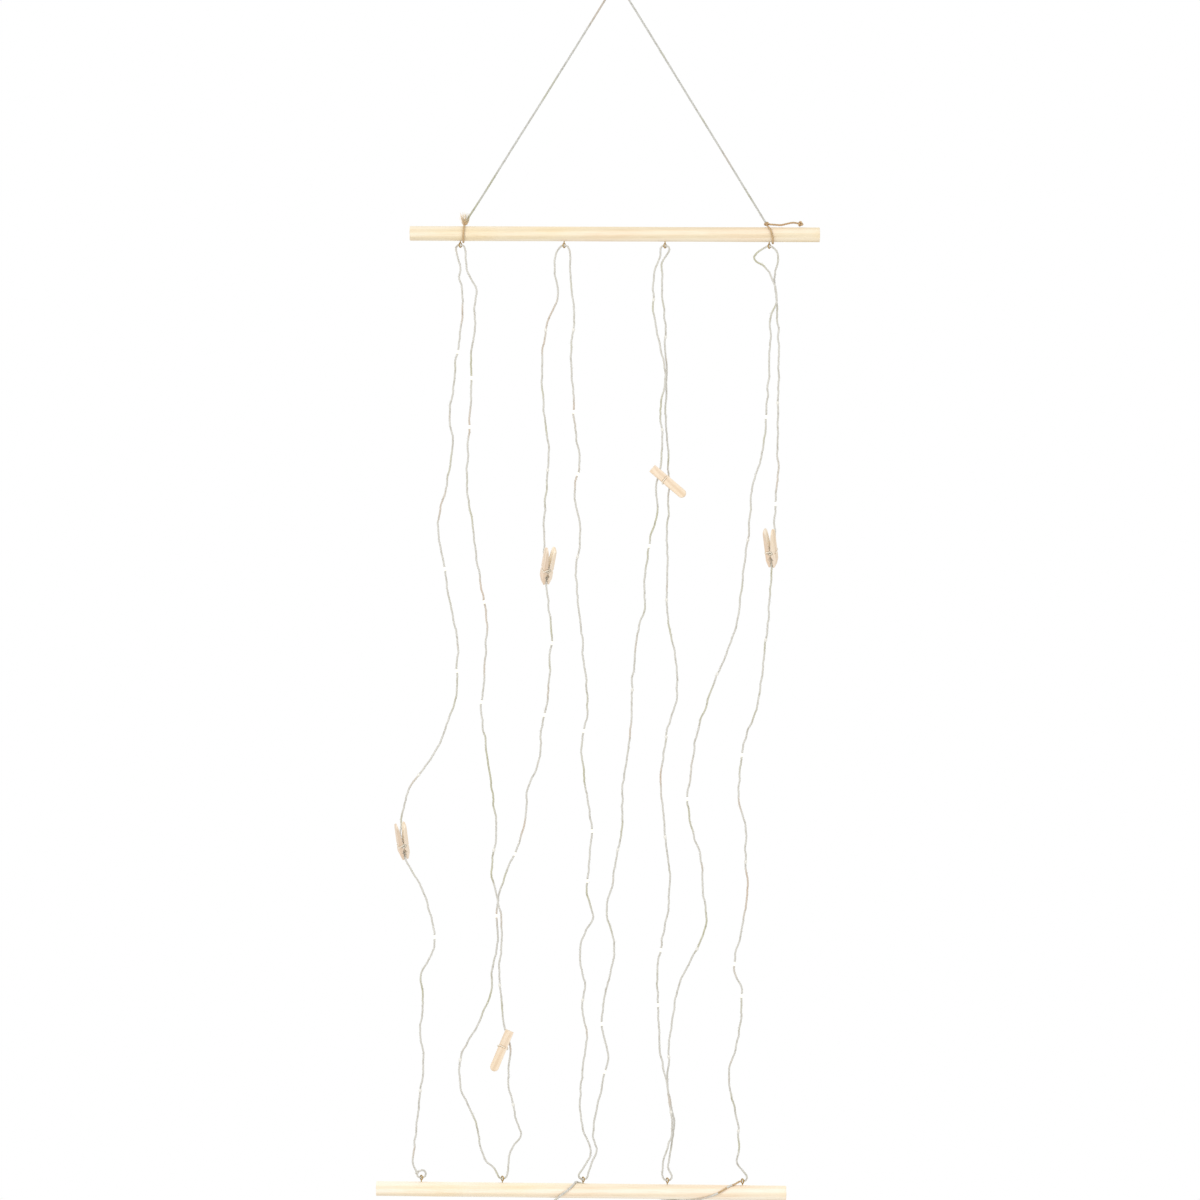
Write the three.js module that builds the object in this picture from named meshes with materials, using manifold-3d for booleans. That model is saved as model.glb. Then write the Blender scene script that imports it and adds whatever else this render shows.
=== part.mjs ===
// Photo clip string lights: a light string laced between two dowels, hung by twine, with clips for photos.
// Units are millimetres, +Z is up, the wall is behind at +Y, and the origin is the top of the hanger twine.
import * as THREE from 'three';
import { mergeVertices } from 'three/addons/utils/BufferGeometryUtils.js';
import Module from 'manifold-3d';

const wasm = await Module();
wasm.setup();

// Shared clearances
const gap = 0.3;              // between neighbours that touch on the real object
const easyGap = 0.35;         // round a wire or a cord that turns in a seat
const overrun = 1;            // how far a cutting shape passes the face that it cuts

// Dowels
const dowelLength = 332;
const dowelDiameter = 12;
const dowelChamfer = 0.7;
const dowelSides = 28;
const topDowelTilt = THREE.MathUtils.degToRad(0.2);
const bottomDowelTilt = THREE.MathUtils.degToRad(0.64);

// Scale of the photograph, for what is placed by pixel: a dowel is this many pixels long
const dowelPixels = 409.88;
const mmPerPixel = dowelLength / dowelPixels;
const apexPixel = [617, -15.85];
const topDowelPixel = [614.78, 234.1];
const bottomDowelPixel = [581.2, 1190.75];
const topEyePixels = [-154.4, -50.6, 50.3, 154.5];
const bottomEyePixels = [-160, -78.9, 1.8, 86, 161.2];
const topDowelDrop = (topDowelPixel[1] - apexPixel[1]) * mmPerPixel;
const topDowelShift = (topDowelPixel[0] - apexPixel[0]) * mmPerPixel;
const bottomDowelDrop = (bottomDowelPixel[1] - apexPixel[1]) * mmPerPixel;
const bottomDowelShift = (bottomDowelPixel[0] - apexPixel[0]) * mmPerPixel;

// Cords
const stringDiameter = 1.4;
const twineDiameter = 1.4;
const bendRadius = 3;         // of the string where it turns through an eye
const bendLead = 0.6;         // straight string on each side of an eye
const cordSides = 8;

// Screw eyes
const eyeWire = 1;
const eyeTurn = THREE.MathUtils.degToRad(30);
const eyeNeck = 1;            // bare shank between the ring and the wood
const eyeShank = 7;           // shank inside the wood
const pilotDepth = eyeShank + gap;
const topEyeOffsets = topEyePixels.map((pixels) => pixels * mmPerPixel);
const bottomEyeOffsets = bottomEyePixels.map((pixels) => pixels * mmPerPixel);

// Knots
const knotWidth = 4.6;
const knotHeight = 4.4;
const tailKnotWidth = 5;

// Light beads
const beadLength = 3.6;
const beadDiameter = 2.8;

// Wooden clips
const clipLength = 35;
const clipWidth = 7;
const legThickness = 4.2;     // from the clip's middle plane to the outer face
const jawHalfGap = stringDiameter / 2 + 0.4;
const jawTipThickness = 1.4;
const jawSlope = 6;
const jawLength = 9.4;
const throatStep = 1;
const throatHalfGap = 0.35;
const notchAt = 7.2;
const notchRadius = 1.1;
const coilAt = 13.6;
const handleFrom = 16.2;
const handleHalfGap = 0.5;    // where the handles start to spread
const handleEndHalfGap = 2.6;
const handleRound = 0.9;
const armGrooveWidth = 1.8;
const armGrooveDepth = 0.6;

// Clip springs
const springWire = 0.8;
const springRadius = 1.5;
const springTurns = 4;
const springCoilHalf = 3.4;   // half the coil's length along the clip's width
const springArmReach = 1.6;   // how far an arm passes the middle of the clip
const springSteps = 8;
const springSides = 5;
const seatRadius = springRadius + springWire / 2 + easyGap;

// Battery box
const boxWall = 1.5;
const boxCorner = 2.5;
const boxDropBelowDowel = 38; // from the dowel's axis to the top of the box
const coverThickness = 1.6;
const tongueWidth = 1.1;
const tongueDepth = 2;
const coverRibs = 5;
const coverRibPitch = 3;
const coverRibHeight = 0.6;
const coverRibWidth = 1.2;
const switchWidth = 5;
const switchHeight = 4;
const switchStand = 1.2;
const switchTravel = 4;
const switchFlange = 1.2;
const cellDiameter = 14.2;
const cellLength = 49;
const nubDiameter = 5.4;
const nubHeight = 1.4;
const cellGap = 1;            // between the two cells
const cellSideGap = 0.8;
const cellBackGap = 1.4;
const contactThickness = 0.5;
const contactWidth = 9;
const contactSpringWire = 0.7;
const contactSpringTurns = 3;
const contactSpringRadius = 3.2;
const contactSpringTipRadius = 2;
const contactSpringRoom = 4.1;
const switchBay = 13;         // height of the closed part above the cells

const cellSpacing = cellDiameter + cellGap;
const cellTotal = cellLength + nubHeight;
const boxWidth = 2 * (boxWall + cellSideGap + cellDiameter) + cellGap;
const boxDepth = coverThickness + gap + cellDiameter + cellBackGap + boxWall;
const plateRoom = contactThickness + gap;
const bayHeight = 2 * (boxWall + gap + plateRoom) + cellTotal + gap + contactSpringRoom;
const boxHeight = bayHeight + switchBay;

// Materials
const pine = new THREE.MeshStandardMaterial({ color: 0xeed9b4, roughness: 0.7, metalness: 0 });
const clipWood = new THREE.MeshStandardMaterial({ color: 0xe3c99a, roughness: 0.75, metalness: 0 });
const brassWire = new THREE.MeshStandardMaterial({ color: 0xb99a5b, roughness: 0.35, metalness: 1 });
const steelWire = new THREE.MeshStandardMaterial({ color: 0xb8b8b4, roughness: 0.3, metalness: 1 });
const rope = new THREE.MeshStandardMaterial({ color: 0xb3a98f, roughness: 0.95, metalness: 0 });
const jute = new THREE.MeshStandardMaterial({ color: 0xbfa37a, roughness: 0.95, metalness: 0 });
const casing = new THREE.MeshStandardMaterial({ color: 0xefece4, roughness: 0.45, metalness: 0 });
const cellSkin = new THREE.MeshStandardMaterial({ color: 0x5a646b, roughness: 0.4, metalness: 0.3 });

const part = new THREE.Group();

// Solids

// Joins a geometry's shared points and turns its faces outwards.
function closed(geometry) {
  const bare = geometry.index ? geometry.toNonIndexed() : geometry.clone();
  for (const name of Object.keys(bare.attributes)) {
    if (name !== 'position') bare.deleteAttribute(name);
  }
  const merged = mergeVertices(bare, 1e-5);
  const place = merged.attributes.position;
  const corner = [0, 1, 2].map(() => new THREE.Vector3());
  const kept = [];
  let volume = 0;
  for (let i = 0; i < merged.index.count; i += 3) {
    const ids = [0, 1, 2].map((k) => merged.index.getX(i + k));
    if (ids[0] === ids[1] || ids[1] === ids[2] || ids[2] === ids[0]) continue;
    ids.forEach((id, k) => corner[k].fromBufferAttribute(place, id));
    volume += corner[0].dot(corner[1].clone().cross(corner[2]));
    kept.push(ids);
  }
  merged.setIndex(kept.flatMap((ids) => (volume < 0 ? [ids[0], ids[2], ids[1]] : ids)));
  return merged;
}

function solid(geometry) {
  const mesh = closed(geometry);
  return new wasm.Manifold(new wasm.Mesh({
    numProp: 3,
    vertProperties: new Float32Array(mesh.attributes.position.array),
    triVerts: new Uint32Array(mesh.index.array),
  }));
}

function geometryOf(manifold) {
  const mesh = manifold.getMesh();
  const geometry = new THREE.BufferGeometry();
  geometry.setAttribute('position', new THREE.BufferAttribute(mesh.vertProperties, 3));
  geometry.setIndex(new THREE.BufferAttribute(mesh.triVerts, 1));
  return geometry;
}

function block(low, high) {
  const size = high.map((value, k) => value - low[k]);
  const middle = high.map((value, k) => (value + low[k]) / 2);
  return new THREE.BoxGeometry(...size).translate(...middle);
}

// A cylinder along Z from one height to another.
function post(radius, low, high, sides) {
  return new THREE.CylinderGeometry(radius, radius, high - low, sides)
    .rotateX(Math.PI / 2)
    .translate(0, 0, (low + high) / 2);
}

function add(name, geometry, material, parent = part) {
  const mesh = new THREE.Mesh(closed(geometry), material);
  mesh.name = name;
  parent.add(mesh);
  return mesh;
}

// Cords

// A route whose steps follow its own points, so that the tight bends get the most of them.
class Route extends THREE.CatmullRomCurve3 {
  constructor(points) {
    super(points, false, 'centripetal');
  }

  getUtoTmapping(u) {
    return u;
  }

  // The place and direction where the route is at this height.
  atHeight(z) {
    let low = 0;
    let high = 1;
    for (let i = 0; i < 40; i += 1) {
      const middle = (low + high) / 2;
      if (this.getPoint(middle).z > z) low = middle;
      else high = middle;
    }
    return { place: this.getPoint(low), along: this.getTangent(low).normalize() };
  }
}

function tube(route, diameter, steps = route.points.length - 1, sides = cordSides) {
  const section = new THREE.Shape();
  for (let i = 0; i < sides; i += 1) {
    const turn = (2 * Math.PI * i) / sides;
    const at = [(diameter / 2) * Math.cos(turn), (diameter / 2) * Math.sin(turn)];
    if (i === 0) section.moveTo(...at);
    else section.lineTo(...at);
  }
  section.closePath();
  return new THREE.ExtrudeGeometry(section, { steps, extrudePath: route, bevelEnabled: false });
}

function fromPhoto([x, y, depth]) {
  return new THREE.Vector3(
    (x - apexPixel[0]) * mmPerPixel,
    depth,
    (apexPixel[1] - y) * mmPerPixel,
  );
}

// Dowels and screw eyes

const dowelRadius = dowelDiameter / 2;
const eyeRadius = (stringDiameter / 2 + easyGap + eyeWire / 2) / Math.cos(eyeTurn);
const eyeStand = eyeRadius + eyeWire / 2 + eyeNeck;      // from the wood to the middle of the hole
const holeLine = dowelRadius + eyeStand;

// side is -1 for eyes under the dowel and 1 for eyes on top of it.
function makeDowel(name, drop, shift, tilt, offsets, side) {
  const frame = new THREE.Group();
  frame.position.set(shift, 0, -drop);
  frame.rotation.y = tilt;
  frame.updateMatrixWorld(true);
  part.add(frame);

  const half = dowelLength / 2;
  const profile = [
    [0, -half],
    [dowelRadius - dowelChamfer, -half],
    [dowelRadius, -half + dowelChamfer],
    [dowelRadius, half - dowelChamfer],
    [dowelRadius - dowelChamfer, half],
    [0, half],
  ].map(([r, y]) => new THREE.Vector2(r, y));
  const rod = new THREE.LatheGeometry(profile, dowelSides).rotateZ(-Math.PI / 2);
  let body = solid(rod);
  for (const offset of offsets) {
    const pilot = post(eyeWire / 2 + gap, dowelRadius - pilotDepth, dowelRadius + overrun, 10);
    if (side < 0) pilot.rotateX(Math.PI);
    body = body.subtract(solid(pilot.translate(offset, 0, 0)));
  }
  add(`${name}_dowel`, geometryOf(body), pine, frame);

  offsets.forEach((offset, i) => {
    const ring = new THREE.TorusGeometry(eyeRadius, eyeWire / 2, 5, 12)
      .rotateY(Math.PI / 2)
      .rotateZ(eyeTurn);
    const shank = post(eyeWire / 2, -(eyeStand + eyeShank), -eyeRadius, 6);
    const eye = geometryOf(solid(ring).add(solid(shank)));
    const mesh = add(`${name}_eye_${i + 1}`, eye, brassWire, frame);
    mesh.position.set(offset, 0, side * holeLine);
    if (side < 0) mesh.rotation.x = Math.PI;
  });
  return frame;
}

const topFrame = makeDowel('top', topDowelDrop, topDowelShift, topDowelTilt, topEyeOffsets, -1);
const bottomFrame = makeDowel(
  'bottom',
  bottomDowelDrop,
  bottomDowelShift,
  bottomDowelTilt,
  bottomEyeOffsets,
  1,
);

// A place on a dowel, from its middle along it, out of its axis and up from it.
function onDowel(frame, along, out, up) {
  return frame.localToWorld(new THREE.Vector3(along, out, up));
}

// The string's bend from the middle of an eye's hole, on the left (-1) or right (1): it turns until
// it points at the next place of its run.
function bend(frame, offset, eyeSide, side, next) {
  const place = frame.worldToLocal(next.clone());
  const across = side * (place.x - offset) - bendLead;
  const level = eyeSide * place.z - holeLine - bendRadius;
  const through = Math.acos(-bendRadius / Math.hypot(across, level)) - Math.atan2(across, level);
  const arc = [0, 1, 2, 3, 4].map((step) => (through * step) / 4).map((turn) => onDowel(
    frame,
    offset + side * (bendLead + bendRadius * Math.sin(turn)),
    0,
    eyeSide * (holeLine + bendRadius * (1 - Math.cos(turn))),
  ));
  return [onDowel(frame, offset + (side * gap) / 2, 0, eyeSide * holeLine), ...arc];
}

// The light string

// Each run goes down from its upper eye by these places: pixels across and down, and depth in mm.
// from and to say which eye, and which side of it (left is -1, right is 1).
const runs = [
  {
    from: [0, -1],
    to: null,
    route: [
      [458.2, 260, 0], [459.5, 269.3, 0.3], [459.6, 278, 0.5], [461.7, 286.3, 0.8],
      [462.6, 294, 1], [461, 329, 1], [456, 360, 0], [454, 387, -0.5],
      [449.8, 415, -1], [453, 448, -1], [447.7, 478, 0], [438, 525, 0.5], [443, 560, 1], [449.6, 600, 1],
      [457.6, 642, 0.5], [457, 670, 0], [455.4, 700, -0.5], [446.5, 725, -1], [436, 751, -1],
      [422, 771, -0.5], [409, 789, 0], [403.4, 810, 0], [401.8, 824, 0], [401, 836, 0], [402.3, 846, 0], [404.2, 854, 0],
      [406.6, 862, 0.2], [412.4, 871, 0.5], [421, 888, 1], [431, 915, 0.5], [434, 936, 0], [432, 953, -0.5],
      [421, 974, -0.5], [422.4, 998, 0], [420.6, 1030, 0.5], [423.2, 1064, 0.5], [418.4, 1108, 0],
      [414.5, 1146, 0], [413.2, 1155, 0], [412.7, 1161, 0], [413.5, 1165.6, 0],
    ],
    beads: [352, 569, 671, 775, 937, 1091],
  },
  {
    from: [0, 1],
    to: [1, 1],
    route: [
      [465.6, 251.4, 0], [465.8, 262, 0], [467, 269.3, 0], [470.2, 276.4, 0], [474.8, 285.6, -0.3],
      [476, 291.6, -0.5], [475.1, 300, -0.7], [474.8, 320, -1], [471.2, 356, -0.5],
      [471, 400, 0], [469, 430, 0.5], [467, 478, 1], [471.2, 520, 0.5], [478.4, 568, 0], [484, 602, -0.5],
      [486.6, 630, -1], [484.2, 675, -1], [481, 712, -0.5], [485.6, 746, 0], [490.6, 782, -0.5],
      [496.6, 832, -1], [492, 862, -1.6], [492.4, 878, -1.8], [497, 895, -1.9], [501, 920, -1.9],
      [502, 938, -1.8], [499.4, 972, -1.4], [502.2, 1010, -0.8], [504.2, 1026, -0.4], [506.8, 1034, -0.2],
      [509.2, 1041.4, -0.2], [510.8, 1052, -0.2], [508.4, 1080, 0.5], [513.6, 1110, 0.5],
      [520.2, 1136, 0], [514.1, 1145.3, 0], [510.2, 1152.2, 0], [508.6, 1158.6, 0], [508.4, 1165, 0],
      [507.9, 1171.4, 0],
    ],
    beads: [378, 427, 602, 702, 850, 985, 1105],
  },
  {
    from: [1, -1],
    to: [1, -1],
    route: [
      [556.9, 251.6, 0], [555, 257.3, 0], [554, 264.4, 0], [554.4, 274, 0], [558.4, 294, 0.5],
      [548, 322, 1], [543, 350, 0.5], [543.2, 400, 0],
      [549.2, 454, -0.5], [545, 499, -0.5], [543.2, 525, 0], [543.8, 545, 0], [544.2, 559, 0],
      [544.6, 567, 0], [545.4, 576, 0], [548, 602, 0], [552, 630, 0.5], [549.4, 656, 1], [549.6, 680, 1],
      [545, 714, 0.5], [541, 730, 0], [539, 762, 0], [528, 788, 0], [525.4, 822, 0.5], [516, 849, 1],
      [506.4, 873, 1.6], [499, 892, 1.9], [496.4, 914, 1.9], [497.2, 944, 1.8], [491.8, 968, 1.4],
      [491, 990, 1], [476, 1028, 0.5], [459.6, 1060, 0], [461, 1088, -0.5], [474.6, 1120, -0.5],
      [480.6, 1146.6, -0.2], [482.6, 1153, 0], [484.2, 1158, 0], [486.8, 1162, 0], [490.4, 1164.4, 0],
      [493.6, 1167.2, 0], [496.2, 1171.6, 0],
    ],
    beads: [330, 470, 643, 715, 854, 916, 1060],
  },
  {
    from: [1, 1],
    to: [2, -1],
    route: [
      [569.6, 250.6, 0], [570.2, 256, 0], [570.3, 263, 0], [571.3, 286, 0], [574.2, 306, -0.5],
      [571.6, 350, -1], [573.6, 400, -0.5],
      [575.6, 437, 0], [579.6, 462, 0.5], [574, 490, 0.5], [580.8, 530, 0], [576, 570, -0.5],
      [578.4, 602, -0.5], [582, 642, 0], [586.6, 689, 0.5], [586.6, 716, 0.5], [582, 740, 0.5],
      [583.8, 778, 0], [588.6, 806, -0.5], [591, 826, -0.5], [589, 862, 0], [586.8, 892, 0],
      [592.4, 917, 0], [582, 940, 0], [579.8, 960, 0], [584.8, 984, -0.5], [583, 1010, -0.5],
      [586.6, 1040, 0], [582.4, 1072, 0.5], [580, 1100, 0.5], [583.6, 1130, 0], [590.2, 1144.6, 0],
      [591.2, 1150, 0], [590, 1155.2, 0], [588, 1159.2, 0], [585.5, 1163.8, 0], [582.6, 1169, 0],
    ],
    beads: [330, 412, 474, 557, 731, 831, 881, 1000],
  },
  {
    from: [2, -1],
    to: [2, 1],
    route: [
      [660.2, 256.7, 0], [658.4, 260.6, 0], [656.5, 264.4, -0.3], [655.3, 269.4, -0.5],
      [654, 280, -0.8], [653, 294, -1], [655.6, 324, -1.4], [660.6, 348, -1.8],
      [664.6, 366, -1.9], [664.8, 386, -1.8], [660.8, 408, -1.4], [662.2, 436, -1.2], [661.8, 458, -1],
      [660.6, 467, -1], [658.6, 475, -1], [656, 486, -1], [657.4, 510, -0.5], [649.2, 545, 0],
      [645, 580, 0.5], [645, 606, 0.5], [638.6, 628, 0.5], [632.6, 676, 0], [631.6, 710, -0.5],
      [627.8, 750, -0.5], [622.4, 786, 0], [621.8, 826, 0.5], [613.4, 876, 0.5], [607, 914, 0],
      [614.6, 944, -0.5], [608.4, 982, -0.5], [601, 1022, 0], [607.4, 1056, 0.5], [598, 1102, 0.5],
      [593.8, 1134, 0], [595.8, 1144.6, 0], [596.3, 1149.6, 0], [595.2, 1154.4, 0], [593.6, 1158, 0],
      [591.9, 1162, 0], [590.4, 1166.6, 0], [588.6, 1172, 0],
    ],
    beads: [300, 430, 546, 690, 850, 1024, 1072],
  },
  {
    from: [2, 1],
    to: [3, -1],
    route: [
      [666.2, 255.6, 0.4], [663.9, 259, 0.6], [662.2, 263.4, 0.9], [661.8, 270, 1.1],
      [662.8, 296, 1.4], [665.4, 330, 1.6], [664.6, 352, 1.9],
      [666.8, 372, 1.9], [665.6, 396, 2], [665.6, 420, 3], [667.6, 444, 5], [668.2, 466, 6.4],
      [669, 484, 6.6], [668.4, 504, 5.6], [667, 540, 3], [667.6, 572, 1], [667, 602, 0],
      [671, 636, -0.5], [676.8, 668, -0.5], [676.2, 700, 0], [667, 731, 0.5], [663.6, 754, 0.5],
      [660.2, 778, 0], [662.4, 808, -0.5], [665.2, 838, -0.5], [669, 874, 0], [667.6, 910, 0],
      [663.4, 934, 0], [658, 966, -0.5], [658, 1006, -1], [659.4, 1036, -1.4], [661.6, 1060, -1.8],
      [667.6, 1088, -1.9], [670.8, 1112, -1.9], [671.6, 1134, -1.6], [668.4, 1145, -1.2],
      [665.9, 1151, -0.8], [664.2, 1157, -0.4], [663.5, 1163.6, 0], [662.9, 1169, 0], [662.1, 1173.8, 0],
    ],
    beads: [337, 600, 737, 837, 950, 1005, 1112],
  },
  {
    from: [3, -1],
    to: [3, 1],
    route: [
      [761.6, 249.6, 0], [757.2, 252.8, 0], [754.6, 257, 0], [756.4, 261.4, -0.2], [760.2, 263.9, -0.6],
      [763, 265.2, -1], [766.8, 269.6, -1.3], [770.4, 275, -1.6], [774, 282, -1.9],
      [776.6, 298, -1.9], [770.6, 320, -0.8], [769.8, 350, 0], [767.4, 400, -0.5], [761.6, 456, -0.5],
      [752.6, 484, 0], [749.4, 524, 0.5], [742.4, 580, 0], [738.6, 612, 0], [732.4, 640, -0.5],
      [717, 674, -0.5], [704.4, 710, 0], [694.6, 744, 0.5], [690.6, 774, 0.5], [687.4, 798, 0],
      [692.2, 830, 0], [700.4, 856, 0], [703, 890, 0.5], [706, 922, 0.5], [696, 950, 1],
      [680, 983, 1.2], [674.6, 1006, 1.5], [669.8, 1036, 1.8], [668.4, 1070, 1.9], [669, 1098, 1.9],
      [673.6, 1120, 1.9], [671.4, 1144, 1], [669.9, 1153, 0.6], [668.7, 1162, 0.2], [668.3, 1168, 0],
    ],
    beads: [417, 540, 674, 799, 949, 1057],
  },
  {
    from: [3, 1],
    to: [4, 1],
    route: [
      [776.8, 251.4, 0.2], [778, 256.6, 0.6], [777.3, 262.4, 1], [775.2, 269.6, 1.5], [774.6, 278, 1.8],
      [775.6, 292, 2], [777, 308, 1.5], [778.6, 348, 0], [777.8, 430, 0],
      [777.4, 480, 0.5], [775.2, 508, 0], [774.4, 530, 0], [774, 545, 0], [773.2, 553, 0],
      [772.2, 562, 0], [770.4, 588, 0], [768, 622, 0.5], [763.4, 662, 0.5], [757, 705, 0],
      [746.6, 735, -0.5], [740.6, 766, -0.5], [739.4, 800, 0], [745.6, 832, 0.5], [746, 864, 0.5],
      [747.6, 894, 0], [741.8, 926, -0.5], [734.4, 962, -0.5], [734.8, 974, 0], [741.6, 990, 0],
      [741, 1012, 0], [736, 1046, 0.5], [728.8, 1070, 0.5], [731, 1094, 0], [738.6, 1124, -0.5],
      [738.6, 1146, -0.2], [737.8, 1155.6, 0], [737.9, 1161.6, 0], [739.6, 1166.4, 0], [742, 1169.8, 0],
    ],
    beads: [403, 504, 640, 755, 862, 964, 996, 1131],
  },
];

// The end of the string is tied to the first lower eye by a small loop and a knot.
const endKnotPixel = [416.9, 1172.2, 0];
const endKnotWidth = 3.8;
const endKnotHeight = 3.8;
const endKnotRunAngle = 122;  // degrees from the right, where the run meets the knot
const endKnotLoopAngle = 25;

function knot(width, height) {
  return new THREE.SphereGeometry(width / 2, 10, 7).scale(1, 1, height / width);
}

const endKnot = fromPhoto(endKnotPixel);

function besideEndKnot(degrees) {
  const turn = THREE.MathUtils.degToRad(degrees);
  const reach = endKnotWidth / 2 + gap;
  return endKnot.clone().add(new THREE.Vector3(reach * Math.cos(turn), 0, reach * Math.sin(turn)));
}

// A light is moulded round the string, so the string swells there: its route gets a point at the
// middle and at each end of a light, and the ring at the middle is drawn out to the light's width.
function withLights(route, rows) {
  const lights = rows.map((row) => route.atHeight((apexPixel[1] - row) * mmPerPixel));
  const points = route.points.slice();
  for (const { place, along } of lights) {
    const reach = beadLength / 2;
    const clear = points.filter((p) => p.distanceTo(place) > 2 * reach);
    points.splice(0, points.length, ...clear);
    const next = points.findIndex((p, i) => i > 4 && p.z < place.z);
    points.splice(
      next,
      0,
      place.clone().addScaledVector(along, -reach),
      place,
      place.clone().addScaledVector(along, reach),
    );
  }
  const geometry = tube(new Route(points), stringDiameter);
  const place = geometry.attributes.position;
  const corner = new THREE.Vector3();
  for (let i = 0; i < place.count; i += 1) {
    corner.fromBufferAttribute(place, i);
    const light = lights.find((l) => l.place.distanceTo(corner) < stringDiameter);
    if (!light) continue;
    corner.sub(light.place).multiplyScalar(beadDiameter / stringDiameter).add(light.place);
    place.setXYZ(i, ...corner);
  }
  return geometry;
}

runs.forEach((run, i) => {
  const [upperEye, upperSide] = run.from;
  const places = run.route.map(fromPhoto);
  const points = [
    ...bend(topFrame, topEyeOffsets[upperEye], -1, upperSide, places[0]),
    ...places,
  ];
  if (run.to) {
    const [lowerEye, lowerSide] = run.to;
    const last = places[places.length - 1];
    points.push(...bend(bottomFrame, bottomEyeOffsets[lowerEye], 1, lowerSide, last).reverse());
  } else {
    points.push(besideEndKnot(endKnotRunAngle));
  }
  run.path = new Route(points);
  add(`string_run_${i + 1}`, withLights(run.path, run.beads), rope);
});

add('string_end_knot', knot(endKnotWidth, endKnotHeight).translate(...endKnot), rope);

// The loop leaves the knot downwards, passes the eye's hole from left to right and comes back over it.
function makeEndLoop() {
  const around = (turns, side) => turns.map(THREE.MathUtils.degToRad).map((turn) => onDowel(
    bottomFrame,
    bottomEyeOffsets[0] + side * (bendLead + bendRadius * Math.sin(turn)),
    0,
    holeLine + bendRadius * (1 - Math.cos(turn)),
  ));
  const points = [
    ...around([62, 42, 21, 0], -1),
    ...around([0, 30, 60, 90, 120, 150, 180], 1),
    besideEndKnot(endKnotLoopAngle),
  ];
  return tube(new Route(points), stringDiameter, 2 * (points.length - 1));
}
add('string_end_loop', makeEndLoop(), rope);

// Hanger twine, ties and tail

const loopReach = dowelRadius + gap + twineDiameter / 2;
const ties = [
  { name: 'left', knotPixel: -149.9, topPixel: -149.4, bottomPixel: -151.4 },
  { name: 'right', knotPixel: 151.8, topPixel: 148.5, bottomPixel: 158.2 },
];
const knotLift = dowelRadius + gap + knotHeight / 2;
const loopStart = 38;         // degrees round the dowel from its top to the loop's first end
const loopSteps = 14;

// The pixels are from the dowel's middle along it: to the knot, and to the loop's top and bottom.
function makeTie({ name, knotPixel, topPixel, bottomPixel }) {
  const [knotAt, top, bottom] = [knotPixel, topPixel, bottomPixel].map((px) => px * mmPerPixel);
  const centre = onDowel(topFrame, knotAt, 0, knotLift);
  add(`${name}_tie_knot`, knot(knotWidth, knotHeight).translate(...centre), jute);
  // The loop runs from the front of the knot round the dowel to the back of the knot.
  const points = [];
  for (let i = 0; i <= loopSteps; i += 1) {
    const turn = THREE.MathUtils.degToRad(loopStart + ((360 - 2 * loopStart) * i) / loopSteps);
    const slant = Math.sqrt(Math.sin(turn / 2));
    points.push(onDowel(
      topFrame,
      top + (bottom - top) * slant,
      -loopReach * Math.sin(turn),
      loopReach * Math.cos(turn),
    ));
  }
  add(`${name}_tie_loop`, tube(new Route(points), twineDiameter), jute);
  return centre;
}

const [leftKnot, rightKnot] = ties.map(makeTie);

// The twine's route: pixels across and down, and depth.
const twineRoute = [
  [484, 193.6, 0.5], [502, 164.6, 0.6], [521, 134.4, 0.3], [540, 104.4, 0], [559, 74, -0.3],
  [578, 43.6, -0.3], [596, 14.6, 0], [607.6, -4.2, 0], [612.8, -12.64, 0], [614.6, -14.34, 0],
  [617, -14.96, 0], [619.4, -14.34, 0], [621.2, -12.64, 0], [626.4, -4.2, 0], [637, 12.8, 0],
  [655, 42, 0.3], [673, 71.4, 0.5], [691, 100.8, 0.5], [709, 130, 0.2],
  [727, 159.4, 0], [742, 184, 0],
];
const twinePoints = [leftKnot, ...twineRoute.map(fromPhoto), rightKnot];

// Draws an end back from the knot that it would reach to the knot's surface.
function drawBack(points, first, second, reach) {
  points[first] = points[first].clone().add(
    points[second].clone().sub(points[first]).setLength(reach),
  );
}
drawBack(twinePoints, 0, 1, knotWidth / 2 + gap);
drawBack(twinePoints, twinePoints.length - 1, twinePoints.length - 2, knotWidth / 2 + gap);
add('hanger_twine', tube(new Route(twinePoints), twineDiameter), jute);

const tailFrom = ties[1].knotPixel * mmPerPixel;
const tailKnotAt = 185.8 * mmPerPixel;
const tailKnot = onDowel(topFrame, tailKnotAt, 0, dowelRadius + gap + tailKnotWidth / 2);
add('tail_knot', knot(tailKnotWidth, tailKnotWidth).translate(...tailKnot), jute);
// The tail's share of the way to its knot, how far it is out, and how far it is above the wood.
const tailRoute = [[0.24, -0.5, 2], [0.42, -0.9, 1.7], [0.6, -0.6, 2.8], [0.78, -0.2, 3.7]];
const tailPoints = [rightKnot, tailKnot];
tailPoints.splice(1, 0, ...tailRoute.map(([share, out, lift]) => onDowel(
  topFrame,
  tailFrom + (tailKnotAt - tailFrom) * share,
  out,
  dowelRadius + lift,
)));
drawBack(tailPoints, 0, 1, knotWidth / 2 + gap);
drawBack(tailPoints, tailPoints.length - 1, tailPoints.length - 2, tailKnotWidth / 2 + gap);
add('hanger_tail', tube(new Route(tailPoints), twineDiameter, 2 * (tailPoints.length - 1)), jute);

// Wooden clips

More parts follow.
